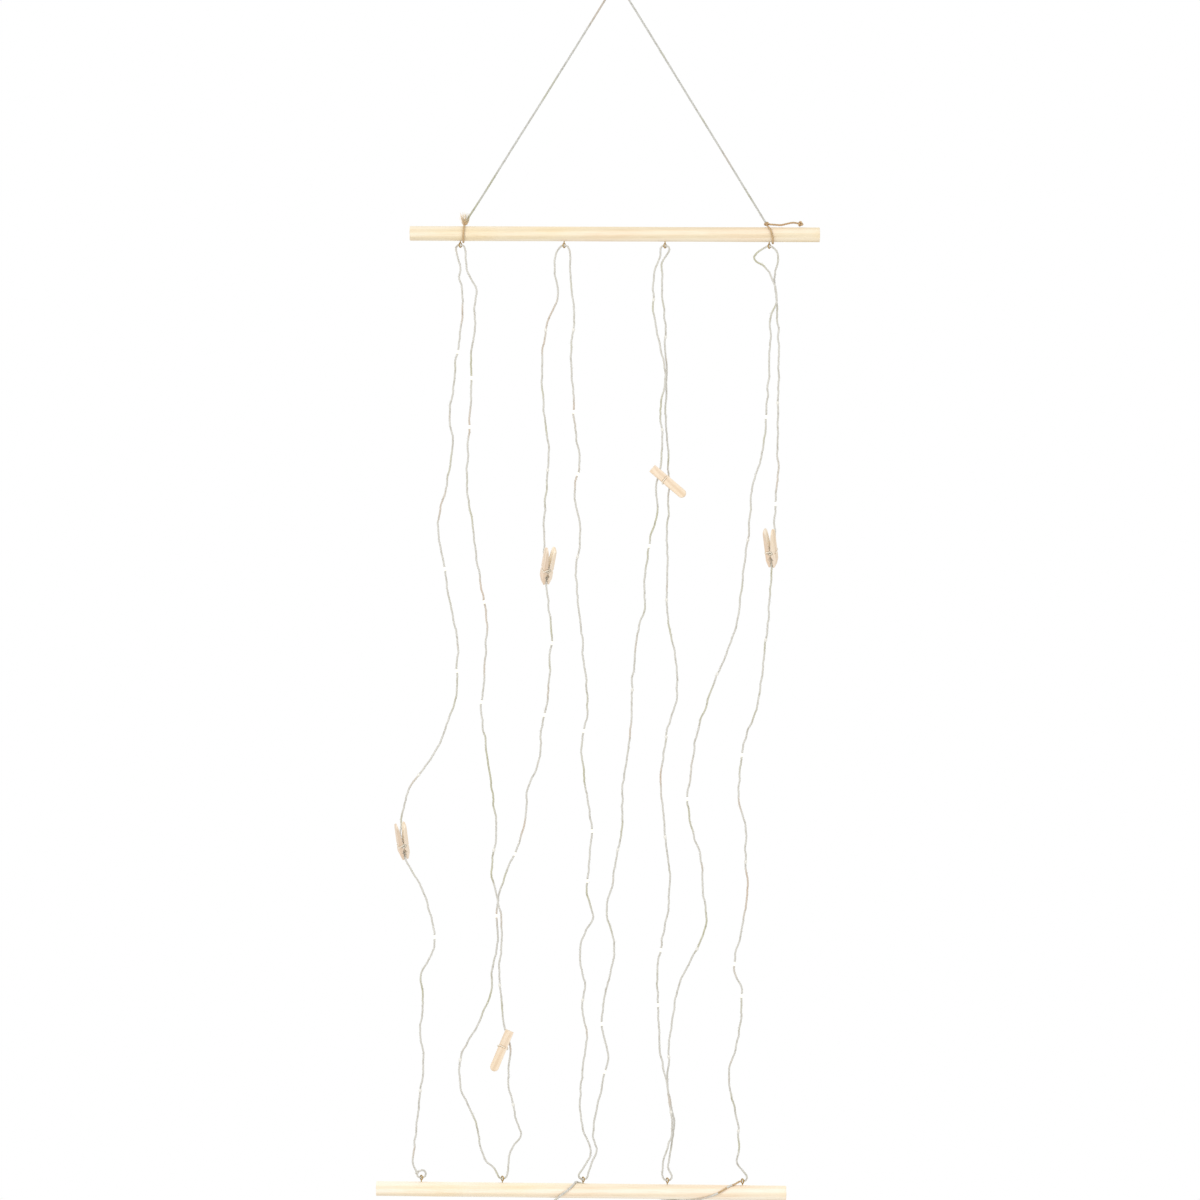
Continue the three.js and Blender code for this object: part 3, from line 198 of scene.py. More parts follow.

# Runs of the light string, from the upper eye down. Each has the eyes that it hangs between and its side of
# them, left (-1) or right (1), its route by pixels across and down and depth in millimetres, and the rows
# of the lamps painted lit, as facing the room, and of those painted in shade, as turned to the wall.
RUNS = [
    {
        "from": (0, -1),
        "to": None,
        "route": [
            (458.2, 260, 0), (459.5, 269.3, 0.3), (459.6, 278, 0.5),
            (461.7, 286.3, 0.8), (462.6, 294, 1), (461, 329, 1), (456, 360, 0), (454, 387, -0.5),
            (449.8, 415, -1), (453, 448, -1), (447.7, 478, 0), (438, 525, 0.5), (443, 560, 1),
            (449.6, 600, 1), (457.6, 642, 0.5), (457, 670, 0), (455.4, 700, -0.5), (446.5, 725, -1),
            (436, 751, -1), (422, 771, -0.5), (409, 789, 0), (403.4, 810, 0), (401.8, 824, 0),
            (401, 836, 0), (402.3, 846, 0), (404.2, 854, 0), (406.6, 862, 0.2), (412.4, 871, 0.5),
            (421, 888, 1), (431, 915, 0.5),
            (434, 936, 0), (432, 953, -0.5), (421, 974, -0.5), (422.4, 998, 0), (420.6, 1030, 0.5),
            (423.2, 1064, 0.5), (418.4, 1108, 0), (414.5, 1146, 0), (413.2, 1155, 0), (412.7, 1161, 0),
            (413.5, 1165.6, 0),
        ],
        "lights": [352, 569, 671, 937],
        "turned": [775, 1091],
    },
    {
        "from": (0, 1),
        "to": (1, 1),
        "route": [
            (465.6, 251.4, 0), (465.8, 262, 0), (467, 269.3, 0), (470.2, 276.4, 0), (474.8, 285.6, -0.3),
            (476, 291.6, -0.5), (475.1, 300, -0.7), (474.8, 320, -1), (471.2, 356, -0.5), (471, 400, 0),
            (469, 430, 0.5), (467, 478, 1), (471.2, 520, 0.5), (478.4, 568, 0), (484, 602, -0.5),
            (486.6, 630, -1), (484.2, 675, -1), (481, 712, -0.5), (485.6, 746, 0), (490.6, 782, -0.5),
            (496.6, 832, -1), (492, 862, -1.6), (492.4, 878, -1.8), (497, 895, -1.9), (501, 920, -1.9),
            (502, 938, -1.8), (499.4, 972, -1.4), (502.2, 1010, -0.8), (504.2, 1026, -0.4),
            (506.8, 1034, -0.2), (509.2, 1041.4, -0.2), (510.8, 1052, -0.2), (508.4, 1080, 0.5),
            (513.6, 1110, 0.5), (520.2, 1136, 0), (514.1, 1145.3, 0), (510.2, 1152.2, 0),
            (508.6, 1158.6, 0), (508.4, 1165, 0), (507.9, 1171.4, 0),
        ],
        "lights": [378, 427, 602, 702],
        "turned": [850, 985, 1105],
    },
    {
        "from": (1, -1),
        "to": (1, -1),
        "route": [
            (556.9, 251.6, 0), (555, 257.3, 0), (554, 264.4, 0), (554.4, 274, 0), (558.4, 294, 0.5),
            (548, 322, 1), (543, 350, 0.5), (543.2, 400, 0), (549.2, 454, -0.5), (545, 499, -0.5),
            (543.2, 525, 0), (543.8, 545, 0), (544.2, 559, 0), (544.6, 567, 0), (545.4, 576, 0),
            (548, 602, 0), (552, 630, 0.5), (549.4, 656, 1), (549.6, 680, 1), (545, 714, 0.5),
            (541, 730, 0), (539, 762, 0), (528, 788, 0), (525.4, 822, 0.5), (516, 849, 1),
            (506.4, 873, 1.6), (499, 892, 1.9), (496.4, 914, 1.9), (497.2, 944, 1.8), (491.8, 968, 1.4),
            (491, 990, 1), (476, 1028, 0.5), (459.6, 1060, 0), (461, 1088, -0.5), (474.6, 1120, -0.5),
            (480.6, 1146.6, -0.2), (482.6, 1153, 0), (484.2, 1158, 0), (486.8, 1162, 0),
            (490.4, 1164.4, 0), (493.6, 1167.2, 0), (496.2, 1171.6, 0),
        ],
        "lights": [643, 715, 854, 916],
        "turned": [330, 470, 1060],
    },
    {
        "from": (1, 1),
        "to": (2, -1),
        "route": [
            (569.6, 250.6, 0), (570.2, 256, 0), (570.3, 263, 0), (571.3, 286, 0), (574.2, 306, -0.5),
            (571.6, 350, -1), (573.6, 400, -0.5), (575.6, 437, 0), (579.6, 462, 0.5), (574, 490, 0.5),
            (580.8, 530, 0), (576, 570, -0.5), (578.4, 602, -0.5), (582, 642, 0), (586.6, 689, 0.5),
            (586.6, 716, 0.5), (582, 740, 0.5), (583.8, 778, 0), (588.6, 806, -0.5), (591, 826, -0.5),
            (589, 862, 0), (586.8, 892, 0), (592.4, 917, 0), (582, 940, 0), (579.8, 960, 0),
            (584.8, 984, -0.5), (583, 1010, -0.5), (586.6, 1040, 0), (582.4, 1072, 0.5), (580, 1100, 0.5),
            (583.6, 1130, 0), (590.2, 1144.6, 0), (591.2, 1150, 0), (590, 1155.2, 0), (588, 1159.2, 0),
            (585.5, 1163.8, 0), (582.6, 1169, 0),
        ],
        "lights": [412, 474, 731, 831, 881],
        "turned": [330, 557, 1000],
    },
    {
        "from": (2, -1),
        "to": (2, 1),
        "route": [
            (660.2, 256.7, 0), (658.4, 260.6, 0), (656.5, 264.4, -0.3),
            (655.3, 269.4, -0.5), (654, 280, -0.8), (653, 294, -1), (655.6, 324, -1.4), (660.6, 348, -1.8),
            (664.6, 366, -1.9), (664.8, 386, -1.8), (660.8, 408, -1.4), (662.2, 436, -1.2),
            (661.8, 458, -1), (660.6, 467, -1), (658.6, 475, -1), (656, 486, -1), (657.4, 510, -0.5),
            (649.2, 545, 0), (645, 580, 0.5), (645, 606, 0.5), (638.6, 628, 0.5), (632.6, 676, 0),
            (631.6, 710, -0.5), (627.8, 750, -0.5), (622.4, 786, 0), (621.8, 826, 0.5), (613.4, 876, 0.5),
            (607, 914, 0), (614.6, 944, -0.5), (608.4, 982, -0.5), (601, 1022, 0), (607.4, 1056, 0.5),
            (598, 1102, 0.5), (593.8, 1134, 0), (595.8, 1144.6, 0), (596.3, 1149.6, 0), (595.2, 1154.4, 0),
            (593.6, 1158, 0), (591.9, 1162, 0), (590.4, 1166.6, 0), (588.6, 1172, 0),
        ],
        "lights": [546, 1024, 1072],
        "turned": [300, 430, 690, 850],
    },
    {
        "from": (2, 1),
        "to": (3, -1),
        "route": [
            (666.2, 255.6, 0.4), (663.9, 259, 0.6), (662.2, 263.4, 0.9),
            (661.8, 270, 1.1), (662.8, 296, 1.4), (665.4, 330, 1.6), (664.6, 352, 1.9), (666.8, 372, 1.9),
            (665.6, 396, 2), (665.6, 420, 3), (667.6, 444, 5), (668.2, 466, 6.4), (669, 484, 6.6),
            (668.4, 504, 5.6), (667, 540, 3), (667.6, 572, 1), (667, 602, 0), (671, 636, -0.5),
            (676.8, 668, -0.5), (676.2, 700, 0), (667, 731, 0.5), (663.6, 754, 0.5), (660.2, 778, 0),
            (662.4, 808, -0.5), (665.2, 838, -0.5), (669, 874, 0), (667.6, 910, 0), (663.4, 934, 0),
            (658, 966, -0.5), (658, 1006, -1), (659.4, 1036, -1.4), (661.6, 1060, -1.8),
            (667.6, 1088, -1.9), (670.8, 1112, -1.9), (671.6, 1134, -1.6), (668.4, 1145, -1.2),
            (665.9, 1151, -0.8), (664.2, 1157, -0.4), (663.5, 1163.6, 0), (662.9, 1169, 0),
            (662.1, 1173.8, 0),
        ],
        "lights": [950, 1005],
        "turned": [337, 600, 737, 837, 1112],
    },
    {
        "from": (3, -1),
        "to": (3, 1),
        "route": [
            (761.6, 249.6, 0), (757.2, 252.8, 0), (754.6, 257, 0), (756.4, 261.4, -0.2),
            (760.2, 263.9, -0.6), (763, 265.2, -1), (766.8, 269.6, -1.3), (770.4, 275, -1.6),
            (774, 282, -1.9), (776.6, 298, -1.9), (770.6, 320, -0.8), (769.8, 350, 0), (767.4, 400, -0.5),
            (761.6, 456, -0.5), (752.6, 484, 0), (749.4, 524, 0.5), (742.4, 580, 0), (738.6, 612, 0),
            (732.4, 640, -0.5), (717, 674, -0.5), (704.4, 710, 0), (694.6, 744, 0.5), (690.6, 774, 0.5),
            (687.4, 798, 0), (692.2, 830, 0), (700.4, 856, 0), (703, 890, 0.5), (706, 922, 0.5),
            (696, 950, 1), (680, 983, 1.2), (674.6, 1006, 1.5), (669.8, 1036, 1.8), (668.4, 1070, 1.9),
            (669, 1098, 1.9), (673.6, 1120, 1.9), (671.4, 1144, 1), (669.9, 1153, 0.6), (668.7, 1162, 0.2),
            (668.3, 1168, 0),
        ],
        "lights": [417, 799],
        "turned": [540, 674, 949, 1057],
    },
    {
        "from": (3, 1),
        "to": (4, 1),
        "route": [
            (776.8, 251.4, 0.2), (778, 256.6, 0.6), (777.3, 262.4, 1), (775.2, 269.6, 1.5),
            (774.6, 278, 1.8), (775.6, 292, 2), (777, 308, 1.5), (778.6, 348, 0), (777.8, 430, 0),
            (777.4, 480, 0.5), (775.2, 508, 0), (774.4, 530, 0), (774, 545, 0), (773.2, 553, 0),
            (772.2, 562, 0), (770.4, 588, 0), (768, 622, 0.5), (763.4, 662, 0.5), (757, 705, 0),
            (746.6, 735, -0.5), (740.6, 766, -0.5), (739.4, 800, 0), (745.6, 832, 0.5), (746, 864, 0.5),
            (747.6, 894, 0), (741.8, 926, -0.5), (734.4, 962, -0.5), (734.8, 974, 0), (741.6, 990, 0),
            (741, 1012, 0), (736, 1046, 0.5), (728.8, 1070, 0.5), (731, 1094, 0), (738.6, 1124, -0.5),
            (738.6, 1146, -0.2), (737.8, 1155.6, 0), (737.9, 1161.6, 0), (739.6, 1166.4, 0),
            (742, 1169.8, 0),
        ],
        "lights": [504, 755, 964, 996],
        "turned": [403, 640, 862, 1131],
    },
]
END_KNOT_PIXEL = (416.9, 1172.2, 0)

TWINE_ROUTE = [
    (484, 193.6, 0.5), (502, 164.6, 0.6), (521, 134.4, 0.3), (540, 104.4, 0), (559, 74, -0.3),
    (578, 43.6, -0.3), (596, 14.6, 0), (607.6, -4.2, 0), (612.8, -12.64, 0), (614.6, -14.34, 0),
    (617, -14.96, 0), (619.4, -14.34, 0), (621.2, -12.64, 0), (626.4, -4.2, 0), (637, 12.8, 0),
    (655, 42, 0.3), (673, 71.4, 0.5), (691, 100.8, 0.5), (709, 130, 0.2), (727, 159.4, 0), (742, 184, 0),
]

# Turns of the lead round the lower dowel: degrees from its top, front first, and pixels across
LEAD_WIND = [
    (12, 734.6), (36, 729.4), (66, 723.4), (94, 716), (122, 706), (150, 694), (180, 680), (210, 662),
    (240, 640), (270, 616), (292, 598), (312, 585), (332, 578.4), (360, 576), (385, 574.4), (412, 571.8),
    (440, 567.6), (468, 562.2),
]

# Clips: the run that each grips, the row of the grip, the grip's place along the clip in millimetres,
# the way across its legs, and either its lean against the string in degrees or the way along it
CLIPS = [
    {"run": 0, "row": 853, "grip": 4.2, "across": (0.97, 0.22, 0), "lean": 36},
    {"run": 2, "row": 578, "grip": 4.2, "across": (0.94, 0.34, 0), "lean": 40},
    {"run": 4, "row": 474, "grip": 7.2, "across": (0, -1, 0), "slope": (0.7625, 0, -0.647)},
    {"run": 1, "row": 1036, "grip": 4.6, "across": (0, -1, 0), "slope": (-0.386, 0, -0.922)},
    {"run": 7, "row": 561, "grip": 4.2, "across": (0.94, -0.34, 0), "lean": 36},
]


def colour(text):
    """A colour written as six hexadecimal digits, in the linear light that shaders use."""
    parts = [int(text[i:i + 2], 16) / 255 for i in (0, 2, 4)]
    return [p / 12.92 if p <= 0.04045 else ((p + 0.055) / 1.055) ** 2.4 for p in parts]


def colour_setting(name, description, value):
    return bpy.props.FloatVectorProperty(
        name=name, description=description, subtype="COLOR", default=colour(value), min=0, max=1,
    )


def length_setting(name, description, size, least, most):
    """A length whose size and limits are in millimetres."""
    return bpy.props.FloatProperty(
        name=name,
        description=description,
        default=size * MM,
        min=least * MM,
        max=most * MM,
        unit="LENGTH",
    )


class CordSettings(bpy.types.PropertyGroup):
    strand_pitch: length_setting(
        "Strand pitch", "Length of cord in which a strand goes once round", 6.5, 3, 20,
    )
    fibre_length: length_setting(
        "Fibre length", "Longest loose fibre that stands out of a cord", 3.2, 0.5, 10,
    )
    fibre_spacing: length_setting(
        "Fibre spacing", "Length of cord for each loose fibre", 4, 1, 50,
    )
    rope_colour: colour_setting("Light string", "Colour of the jute round the light string", "DDDBD4")
    twine_colour: colour_setting("Hanger twine", "Colour of the twine that the display hangs by", "D0D0CB")
    # The frayed end's colour is the jute's own pale tone made paler still: painted light that lifts the
    # shade the fibres cast on each other.
    fray_colour_and_painted_light: colour_setting("Frayed end", "Loose fibres at the cut end of the twine, paler still as painted light against the shade they cast on each other", "F4DEBE")
    # The tie colour is the ties' own brown, and it is also painted shade on the stretches of the lead near
    # its last eye.
    tie_colour_and_lead_shade: colour_setting("Ties", "The twine's knots and ties, and painted shade on the lead near its eye", "CFB084")
    # The lamps' two colours are painted light and painted shade on the same clear drop: paler where it
    # stands lit, darker where it stands in shade.
    painted_light_lamp_colour: colour_setting("Lights", "Colour of the small lamps, paler as painted light", "FFF6E4")
    painted_shade_lamp_colour: colour_setting(
        "Lamps in painted shade", "Darker colour, painted shade, of the lamps whose light faces the wall", "E6E3DA",
    )


class WoodSettings(bpy.types.PropertyGroup):
    pine_colour: colour_setting("Pine", "Colour of the upper dowel's pale wood", "EEE1C8")
    band_colour: colour_setting("Grain", "Colour of the upper dowel's growth rings", "E3D1AC")
    low_pine_colour: colour_setting("Lower dowel", "Colour of the lower dowel's paler wood", "F8EDDA")
    low_band_colour: colour_setting(
        "Lower dowel's grain", "Colour of the lower dowel's growth rings", "F1DCB8",
    )
    clip_colour: colour_setting("Clips", "Colour of the clips' wood", "E9D9C5")
    # Painted light: the clip wood between the legs is made paler to lift the shade that falls there.
    painted_light_inside_colour: colour_setting(
        "Clip wood inside", "Paler wood between the legs of a clip, painted light that lifts the shade there", "FAF2E4",
    )
    clip_grain_colour: colour_setting("Clip grain", "Colour of the darker streaks in the clips", "DDC2A4")
    edge_round: length_setting("Edge rounding", "Rounding of the clips' edges", 0.22, 0.05, 0.5)


class BoxSettings(bpy.types.PropertyGroup):
    casing_colour: colour_setting("Casing", "Colour of the battery box", "EDEAE2")
    edge_round: length_setting("Edge rounding", "Rounding of the battery box's edges", 0.35, 0.05, 0.5)


# Routes

def from_photo(point):
    """A place by its pixels across and down the photograph and its depth in millimetres."""
    across, down, depth = point
    return Vector((
        (across - APEX_PIXEL[0]) * PIXEL,
        depth * MM,
        (APEX_PIXEL[1] - down) * PIXEL,
    ))


def on_dowel(dowel, along, out, up):
    """A place on a dowel, from its middle along it, out of its axis and up from it."""
    return dowel_matrix(dowel) @ Vector((along, out, up))


def dowel_matrix(dowel):
    return Matrix.Translation(from_photo(dowel["pixel"])) @ Matrix.Rotation(dowel["tilt"], 4, "Y")


def bend(dowel, offset, eye_side, side, beyond):
    """The string's turn from an eye's hole, on the left (-1) or right (1), until it points at
    the next place of its run."""
    place = dowel_matrix(dowel).inverted() @ beyond
    across = side * (place.x - offset) - BEND_LEAD
    level = eye_side * place.z - HOLE_LINE - BEND_RADIUS
    through = math.acos(-BEND_RADIUS / math.hypot(across, level)) - math.atan2(across, level)
    points = [on_dowel(dowel, offset + side * GAP / 2, 0, eye_side * HOLE_LINE)]
    turns = [math.degrees(through) * step / BEND_STEPS for step in range(BEND_STEPS + 1)]
    return points + arc(dowel, offset, eye_side, side, turns)


def arc(dowel, offset, eye_side, side, turns):
    """Places on the round bend beside an eye, at these degrees from its hole."""
    return [
        on_dowel(
            dowel,
            offset + side * (BEND_LEAD + BEND_RADIUS * math.sin(angle)),
            0,
            eye_side * (HOLE_LINE + BEND_RADIUS * (1 - math.cos(angle))),
        )
        for angle in map(math.radians, turns)
    ]


def smooth(points, step):
    """Points about a step apart on the smooth curve through these points."""
    places = [Vector(point) for point in points]
    places = [2 * places[0] - places[1]] + places + [2 * places[-1] - places[-2]]
    curve = [places[1].copy()]
    for a, b, c, d in zip(places, places[1:], places[2:], places[3:]):
        before, here, after = (max(1e-6, gap.length ** 0.5) for gap in (b - a, c - b, d - c))
        leaving = ((b - a) / before - (c - a) / (before + here) + (c - b) / here) * here
        arriving = ((c - b) / here - (d - b) / (here + after) + (d - c) / after) * here
        count = max(1, round((c - b).length / step))
        for k in range(1, count + 1):
            s = k / count
            curve.append(
                (2 * s ** 3 - 3 * s ** 2 + 1) * b
                + (s ** 3 - 2 * s ** 2 + s) * leaving
                + (3 * s ** 2 - 2 * s ** 3) * c
                + (s ** 3 - s ** 2) * arriving
            )
    return curve


def route_length(path):
    return sum((b - a).length for a, b in zip(path, path[1:]))


def run_points(run):
    """A run's points from its upper eye to its lower eye or to the end knot."""
    eye, side = run["from"]
    places = [from_photo(q) for q in run["route"]]
    points = bend(TOP_DOWEL, TOP_EYES[eye], -1, side, places[0]) + places
    if run["to"]:
        eye, side = run["to"]
        points += reversed(bend(BOTTOM_DOWEL, BOTTOM_EYES[eye], 1, side, places[-1]))
    else:
        points.append(beside_end_knot(END_KNOT_RUN_DEGREES))
    return points


def kinked(path, number):
    """The path of this run with the small kinks of a limp string. They fade out at its ends and
    where a clip holds it."""
    held = [(APEX_PIXEL[1] - clip["row"]) * PIXEL for clip in CLIPS if clip["run"] == number - 1]
    whole = route_length(path)
    travelled = 0
    kinks = []
    for i, place in enumerate(path):
        travelled += (place - path[max(0, i - 1)]).length
        near = min([travelled, whole - travelled] + [abs(place.z - height) for height in held])
        fade = min(1, max(0, near / KINK_FADE - 1))
        steps = [(travelled / KINK_LENGTH * waves, share) for waves, share in KINK_WAVE_SHARES]
        across, out = (
            sum(share * wander((at, number, layer)) for at, share in steps) for layer in KINK_LAYERS
        )
        kinks.append(place + fade * KINK_REACH * Vector((across, KINK_OUT * out, 0)))
    return kinks


def beside_end_knot(degrees):
    """A place on the end knot's surface, by its angle from the right."""
    angle = math.radians(degrees)
    reach = END_KNOT_WIDTH / 2
    return from_photo(END_KNOT_PIXEL) + Vector((reach * math.cos(angle), 0, reach * math.sin(angle)))


def at_row(path, row):
    """The place and direction where a run is at this row of the photograph."""
    height = (APEX_PIXEL[1] - row) * PIXEL
    i = next(i for i in range(len(path) - 1, 0, -1) if path[i - 1].z > height)
    share = (path[i - 1].z - height) / max(1e-9, path[i - 1].z - path[i].z)
    return path[i - 1].lerp(path[i], share), (path[i] - path[i - 1]).normalized()


# Meshes

def add_object(name, data):
    obj = bpy.data.objects.new(name, data)
    bpy.context.scene.collection.objects.link(obj)
    return obj


def new_piece(name, vertices, faces, material, smooth_faces=True):
    """A visible piece of one material in its slot."""
    mesh = bpy.data.meshes.new(name)
    mesh.from_pydata([tuple(v) for v in vertices], [], faces)
    mesh.validate()
    if smooth_faces:
        mesh.shade_smooth()
    else:
        mesh.shade_flat()
    mesh.materials.append(material)
    piece = add_object(name, mesh)
    return piece


class Shape:
    """Vertices and faces that are gathered before they become one mesh."""

    def __init__(self):
        self.vertices = []
        self.faces = []

    def ring(self, points):
        """Adds a ring of vertices and gives their numbers."""
        first = len(self.vertices)
        self.vertices += points
        return list(range(first, first + len(points)))

    def circle(self, middle, radius, sides):
        """Adds a level, round ring."""
        turns = [2 * math.pi * k / sides for k in range(sides)]
        return self.ring([
            middle + Vector((radius * math.cos(turn), radius * math.sin(turn), 0)) for turn in turns
        ])

    def join(self, a, b):
        """Adds the faces from one ring to the next."""
        n = len(a)
        self.faces += [(a[i], a[(i + 1) % n], b[(i + 1) % n], b[i]) for i in range(n)]

    def join_all(self, rings):
        for low, high in zip(rings, rings[1:]):
            self.join(low, high)

    def cap(self, ring, middle, turned=False):
        """Adds the faces from a ring to its middle."""
        self.vertices.append(middle)
        top = len(self.vertices) - 1
        n = len(ring)
        for i in range(n):
            a, b = ring[i], ring[(i + 1) % n]
            self.faces.append((b, a, top) if turned else (a, b, top))

    def tube(self, path, radius, sides=10, twist=0, lobes=0, depth=0):
        """A tube along the path, whose radius is a number or a function of the share of its length.
        Lobes are the strands of a cord, and depth is the share of the radius that parts them."""
        frames = along(path)
        whole = route_length(path)
        travelled = 0
        last = None
        for i, (place, (u, v)) in enumerate(zip(path, frames)):
            if i:
                travelled += (place - path[i - 1]).length
            full = radius(travelled / whole) if callable(radius) else radius
            spin = twist * travelled
            points = []
            for k in range(sides):
                angle = 2 * math.pi * k / sides
                reach = full * (1 - depth * (0.5 - 0.5 * math.cos(lobes * angle)))
                points.append(place + reach * (math.cos(angle + spin) * u + math.sin(angle + spin) * v))
            ring = self.ring(points)
            if last is None:
                self.cap(ring, place.copy(), True)
            else:
                self.join(last, ring)
            last = ring
        self.cap(last, path[-1].copy())

    def build(self, name, material):
        return new_piece(name, self.vertices, self.faces, material)


def along(path):
    """Two directions across the path at each of its points, turned as little as possible."""
    tangents = [
        (path[min(i + 1, len(path) - 1)] - path[max(i - 1, 0)]).normalized() for i in range(len(path))
    ]
    u = tangents[0].orthogonal().normalized()
    frames = []
    for t in tangents:
        u = (u - u.dot(t) * t).normalized()
        frames.append((u, t.cross(u)))
    return frames


def make_fibres(name, path, material, chance):
    """Loose fibres that stand out of a cord, each bent once on its way to the tip."""
    settings = bpy.context.scene.string_lights_cords
    shape = Shape()
    frames = along(path)
    thick = FIBRE_RADIUS
    for _ in range(int(route_length(path) / settings.fibre_spacing)):
        i = chance.randrange(2, len(path) - 3)
        u, v = frames[i]
        angle = chance.uniform(0, 2 * math.pi)
        out = math.cos(angle) * u + math.sin(angle) * v
        ahead = (path[i + 1] - path[i]).normalized() * chance.choice((-1, 1))
        length = settings.fibre_length * chance.uniform(0.3, 1)
        start = path[i] + out * CORD_DIAMETER / 2 * 0.75
        middle = start + length * 0.5 * (0.7 * ahead + 0.5 * out)
        end = middle + length * 0.5 * (0.8 * ahead + chance.uniform(0.1, 0.9) * out)
        base, bent = (
            shape.ring([place + thick * u, place - 0.5 * thick * u + thick * v, place - thick * v])
            for place in (start, middle)
        )
        shape.join(base, bent)
        shape.cap(bent, end)
    return shape.build(name, material)


def rope(name, path, material, swell=ROPE_SWELL):
    """A cord of twisted strands along the path."""
    turn = 2 * math.pi / bpy.context.scene.string_lights_cords.strand_pitch
    radius = CORD_DIAMETER / 2 * swell
    shape = Shape()
    shape.tube(path, radius, sides=ROPE_SIDES, twist=turn, lobes=ROPE_STRANDS, depth=STRAND_DEPTH)
    return shape.build(name, material)


def make_knot(name, place, width, height, material, turn=0.0):
    """A small knot: one cord that goes three times through itself."""
    thick = CORD_DIAMETER / 2
    reach = (width / 2 - thick) / 3
    rise = height / 2 - thick
    points = []
    for i in range(KNOT_STEPS + 1):
        t = 2 * math.pi * i / KNOT_STEPS
        points.append(place + Matrix.Rotation(turn, 3, "Y") @ Vector((
            reach * (math.sin(t) + 2 * math.sin(2 * t)),
            rise * -math.sin(3 * t) * 0.9,
            reach * (math.cos(t) - 2 * math.cos(2 * t)) * height / width,
        )))
    twist = 2 * math.pi / KNOT_STRAND_PITCH
    shape = Shape()
    shape.tube(points, thick, sides=ROPE_SIDES, twist=twist, lobes=ROPE_STRANDS, depth=STRAND_DEPTH)
    return shape.build(name, material)


def bevel(obj, width, segments=2):
    modifier = obj.modifiers.new("Edge rounding", "BEVEL")
    modifier.width = width
    modifier.segments = segments
    modifier.limit_method = "ANGLE"
    modifier.angle_limit = math.radians(35)
    modifier.harden_normals = True


# Materials

WHITE = (1, 1, 1)


class Nodes:
    """The nodes of a material or of the world. Each input is a value or another node's output."""

    def __init__(self, tree):
        self.nodes = tree.nodes
        self.links = tree.links

    def put(self, socket, value):
        if isinstance(value, bpy.types.NodeSocket):
            self.links.new(value, socket)
        else:
            socket.default_value = value

    def add(self, kind, inputs):
        node = self.nodes.new(kind)
        for name, value in inputs.items():
            self.put(node.inputs[name], value)
        return node

    def own_place(self, scale=(1, 1, 1)):
        """The place on a piece in its own frame, stretched where a scale is below 1."""
        place = self.add("ShaderNodeTexCoord", {}).outputs["Object"]
        return self.add("ShaderNodeMapping", {"Vector": place, "Scale": scale}).outputs["Vector"]

    def noise(self, place, scale, detail):
        inputs = {"Vector": place, "Scale": scale, "Detail": detail}
        return self.add("ShaderNodeTexNoise", inputs).outputs["Fac"]

    def between(self, factor, low, high):
        """A factor from 0 to 1 turned into a value from low to high."""
        inputs = {"Value": factor, "To Min": low, "To Max": high}
        return self.add("ShaderNodeMapRange", inputs).outputs["Result"]

    def ramp(self, factor, stops, interpolation="LINEAR"):
        """The colour at this factor, between stops that each have a position and a colour."""
        node = self.add("ShaderNodeValToRGB", {"Fac": factor})
        node.color_ramp.interpolation = interpolation
        elements = node.color_ramp.elements
        while len(elements) < len(stops):
            elements.new(0.5)
        for element, (position, value) in zip(elements, stops):
            element.position = position
            element.color = (*value, 1)
        return node.outputs["Color"]

    def mix(self, factor, a, b, blend_type="MIX"):
        """Two colours mixed by a factor."""
        node = self.nodes.new("ShaderNodeMix")
        node.data_type = "RGBA"
        node.blend_type = blend_type
        for name, value in (("Factor", factor), ("A", a), ("B", b)):
            if name != "Factor" and not isinstance(value, bpy.types.NodeSocket):
                value = (*value, 1)
            self.put(next(s for s in node.inputs if s.name == name and s.enabled), value)
        return next(s for s in node.outputs if s.enabled)


class Finish(Nodes):
    """A material with one shader."""

    def __init__(self, name, base, roughness, metallic=0):
        self.material = bpy.data.materials.new(name)
        self.material.use_nodes = True
        super().__init__(self.material.node_tree)
        self.shader = self.nodes["Principled BSDF"]
        self.shade({"Base Color": (*base, 1), "Roughness": roughness, "Metallic": metallic})

    def shade(self, inputs):
        for name, value in inputs.items():
            self.put(self.shader.inputs[name], value)

    def bump(self, height, strength, distance):
        inputs = {"Height": height, "Strength": strength, "Distance": distance}
        self.shade({"Normal": self.add("ShaderNodeBump", inputs).outputs["Normal"]})


def darker(value, share):
    return [v * share for v in value]


def cord_material(name, base):
    """Jute: olive and rosy stains, darker patches and fine strands."""
    finish = Finish(name, base, 0.9)
    place = finish.own_place()
    patches = finish.noise(place, 260, 4)
    strands = finish.noise(place, 2200, 2)
    clouds = finish.noise(place, 24, 2)
    olive = [base[0] * 0.84, base[1] * 0.84, base[2] * 0.68]
    rosy = [base[0] * 0.98, base[1] * 0.84, base[2] * 0.74]
    stained = finish.ramp(clouds, [(0.34, olive), (0.45, base), (0.58, base), (0.7, rosy)])
    dark = finish.ramp(patches, [(0.3, (0.78, 0.76, 0.72)), (0.5, WHITE)])
    fine = finish.ramp(strands, [(0.35, (0.84, 0.82, 0.78)), (0.7, WHITE)])
    tone = finish.mix(1.0, stained, dark, "MULTIPLY")
    finish.shade({
        "Base Color": finish.mix(1.0, tone, fine, "MULTIPLY"),
        "Roughness": finish.between(strands, 0.8, 0.98),
        "Sheen Weight": 0.25,
    })
    finish.bump(strands, 0.5, 0.15 * MM)
    return finish.material


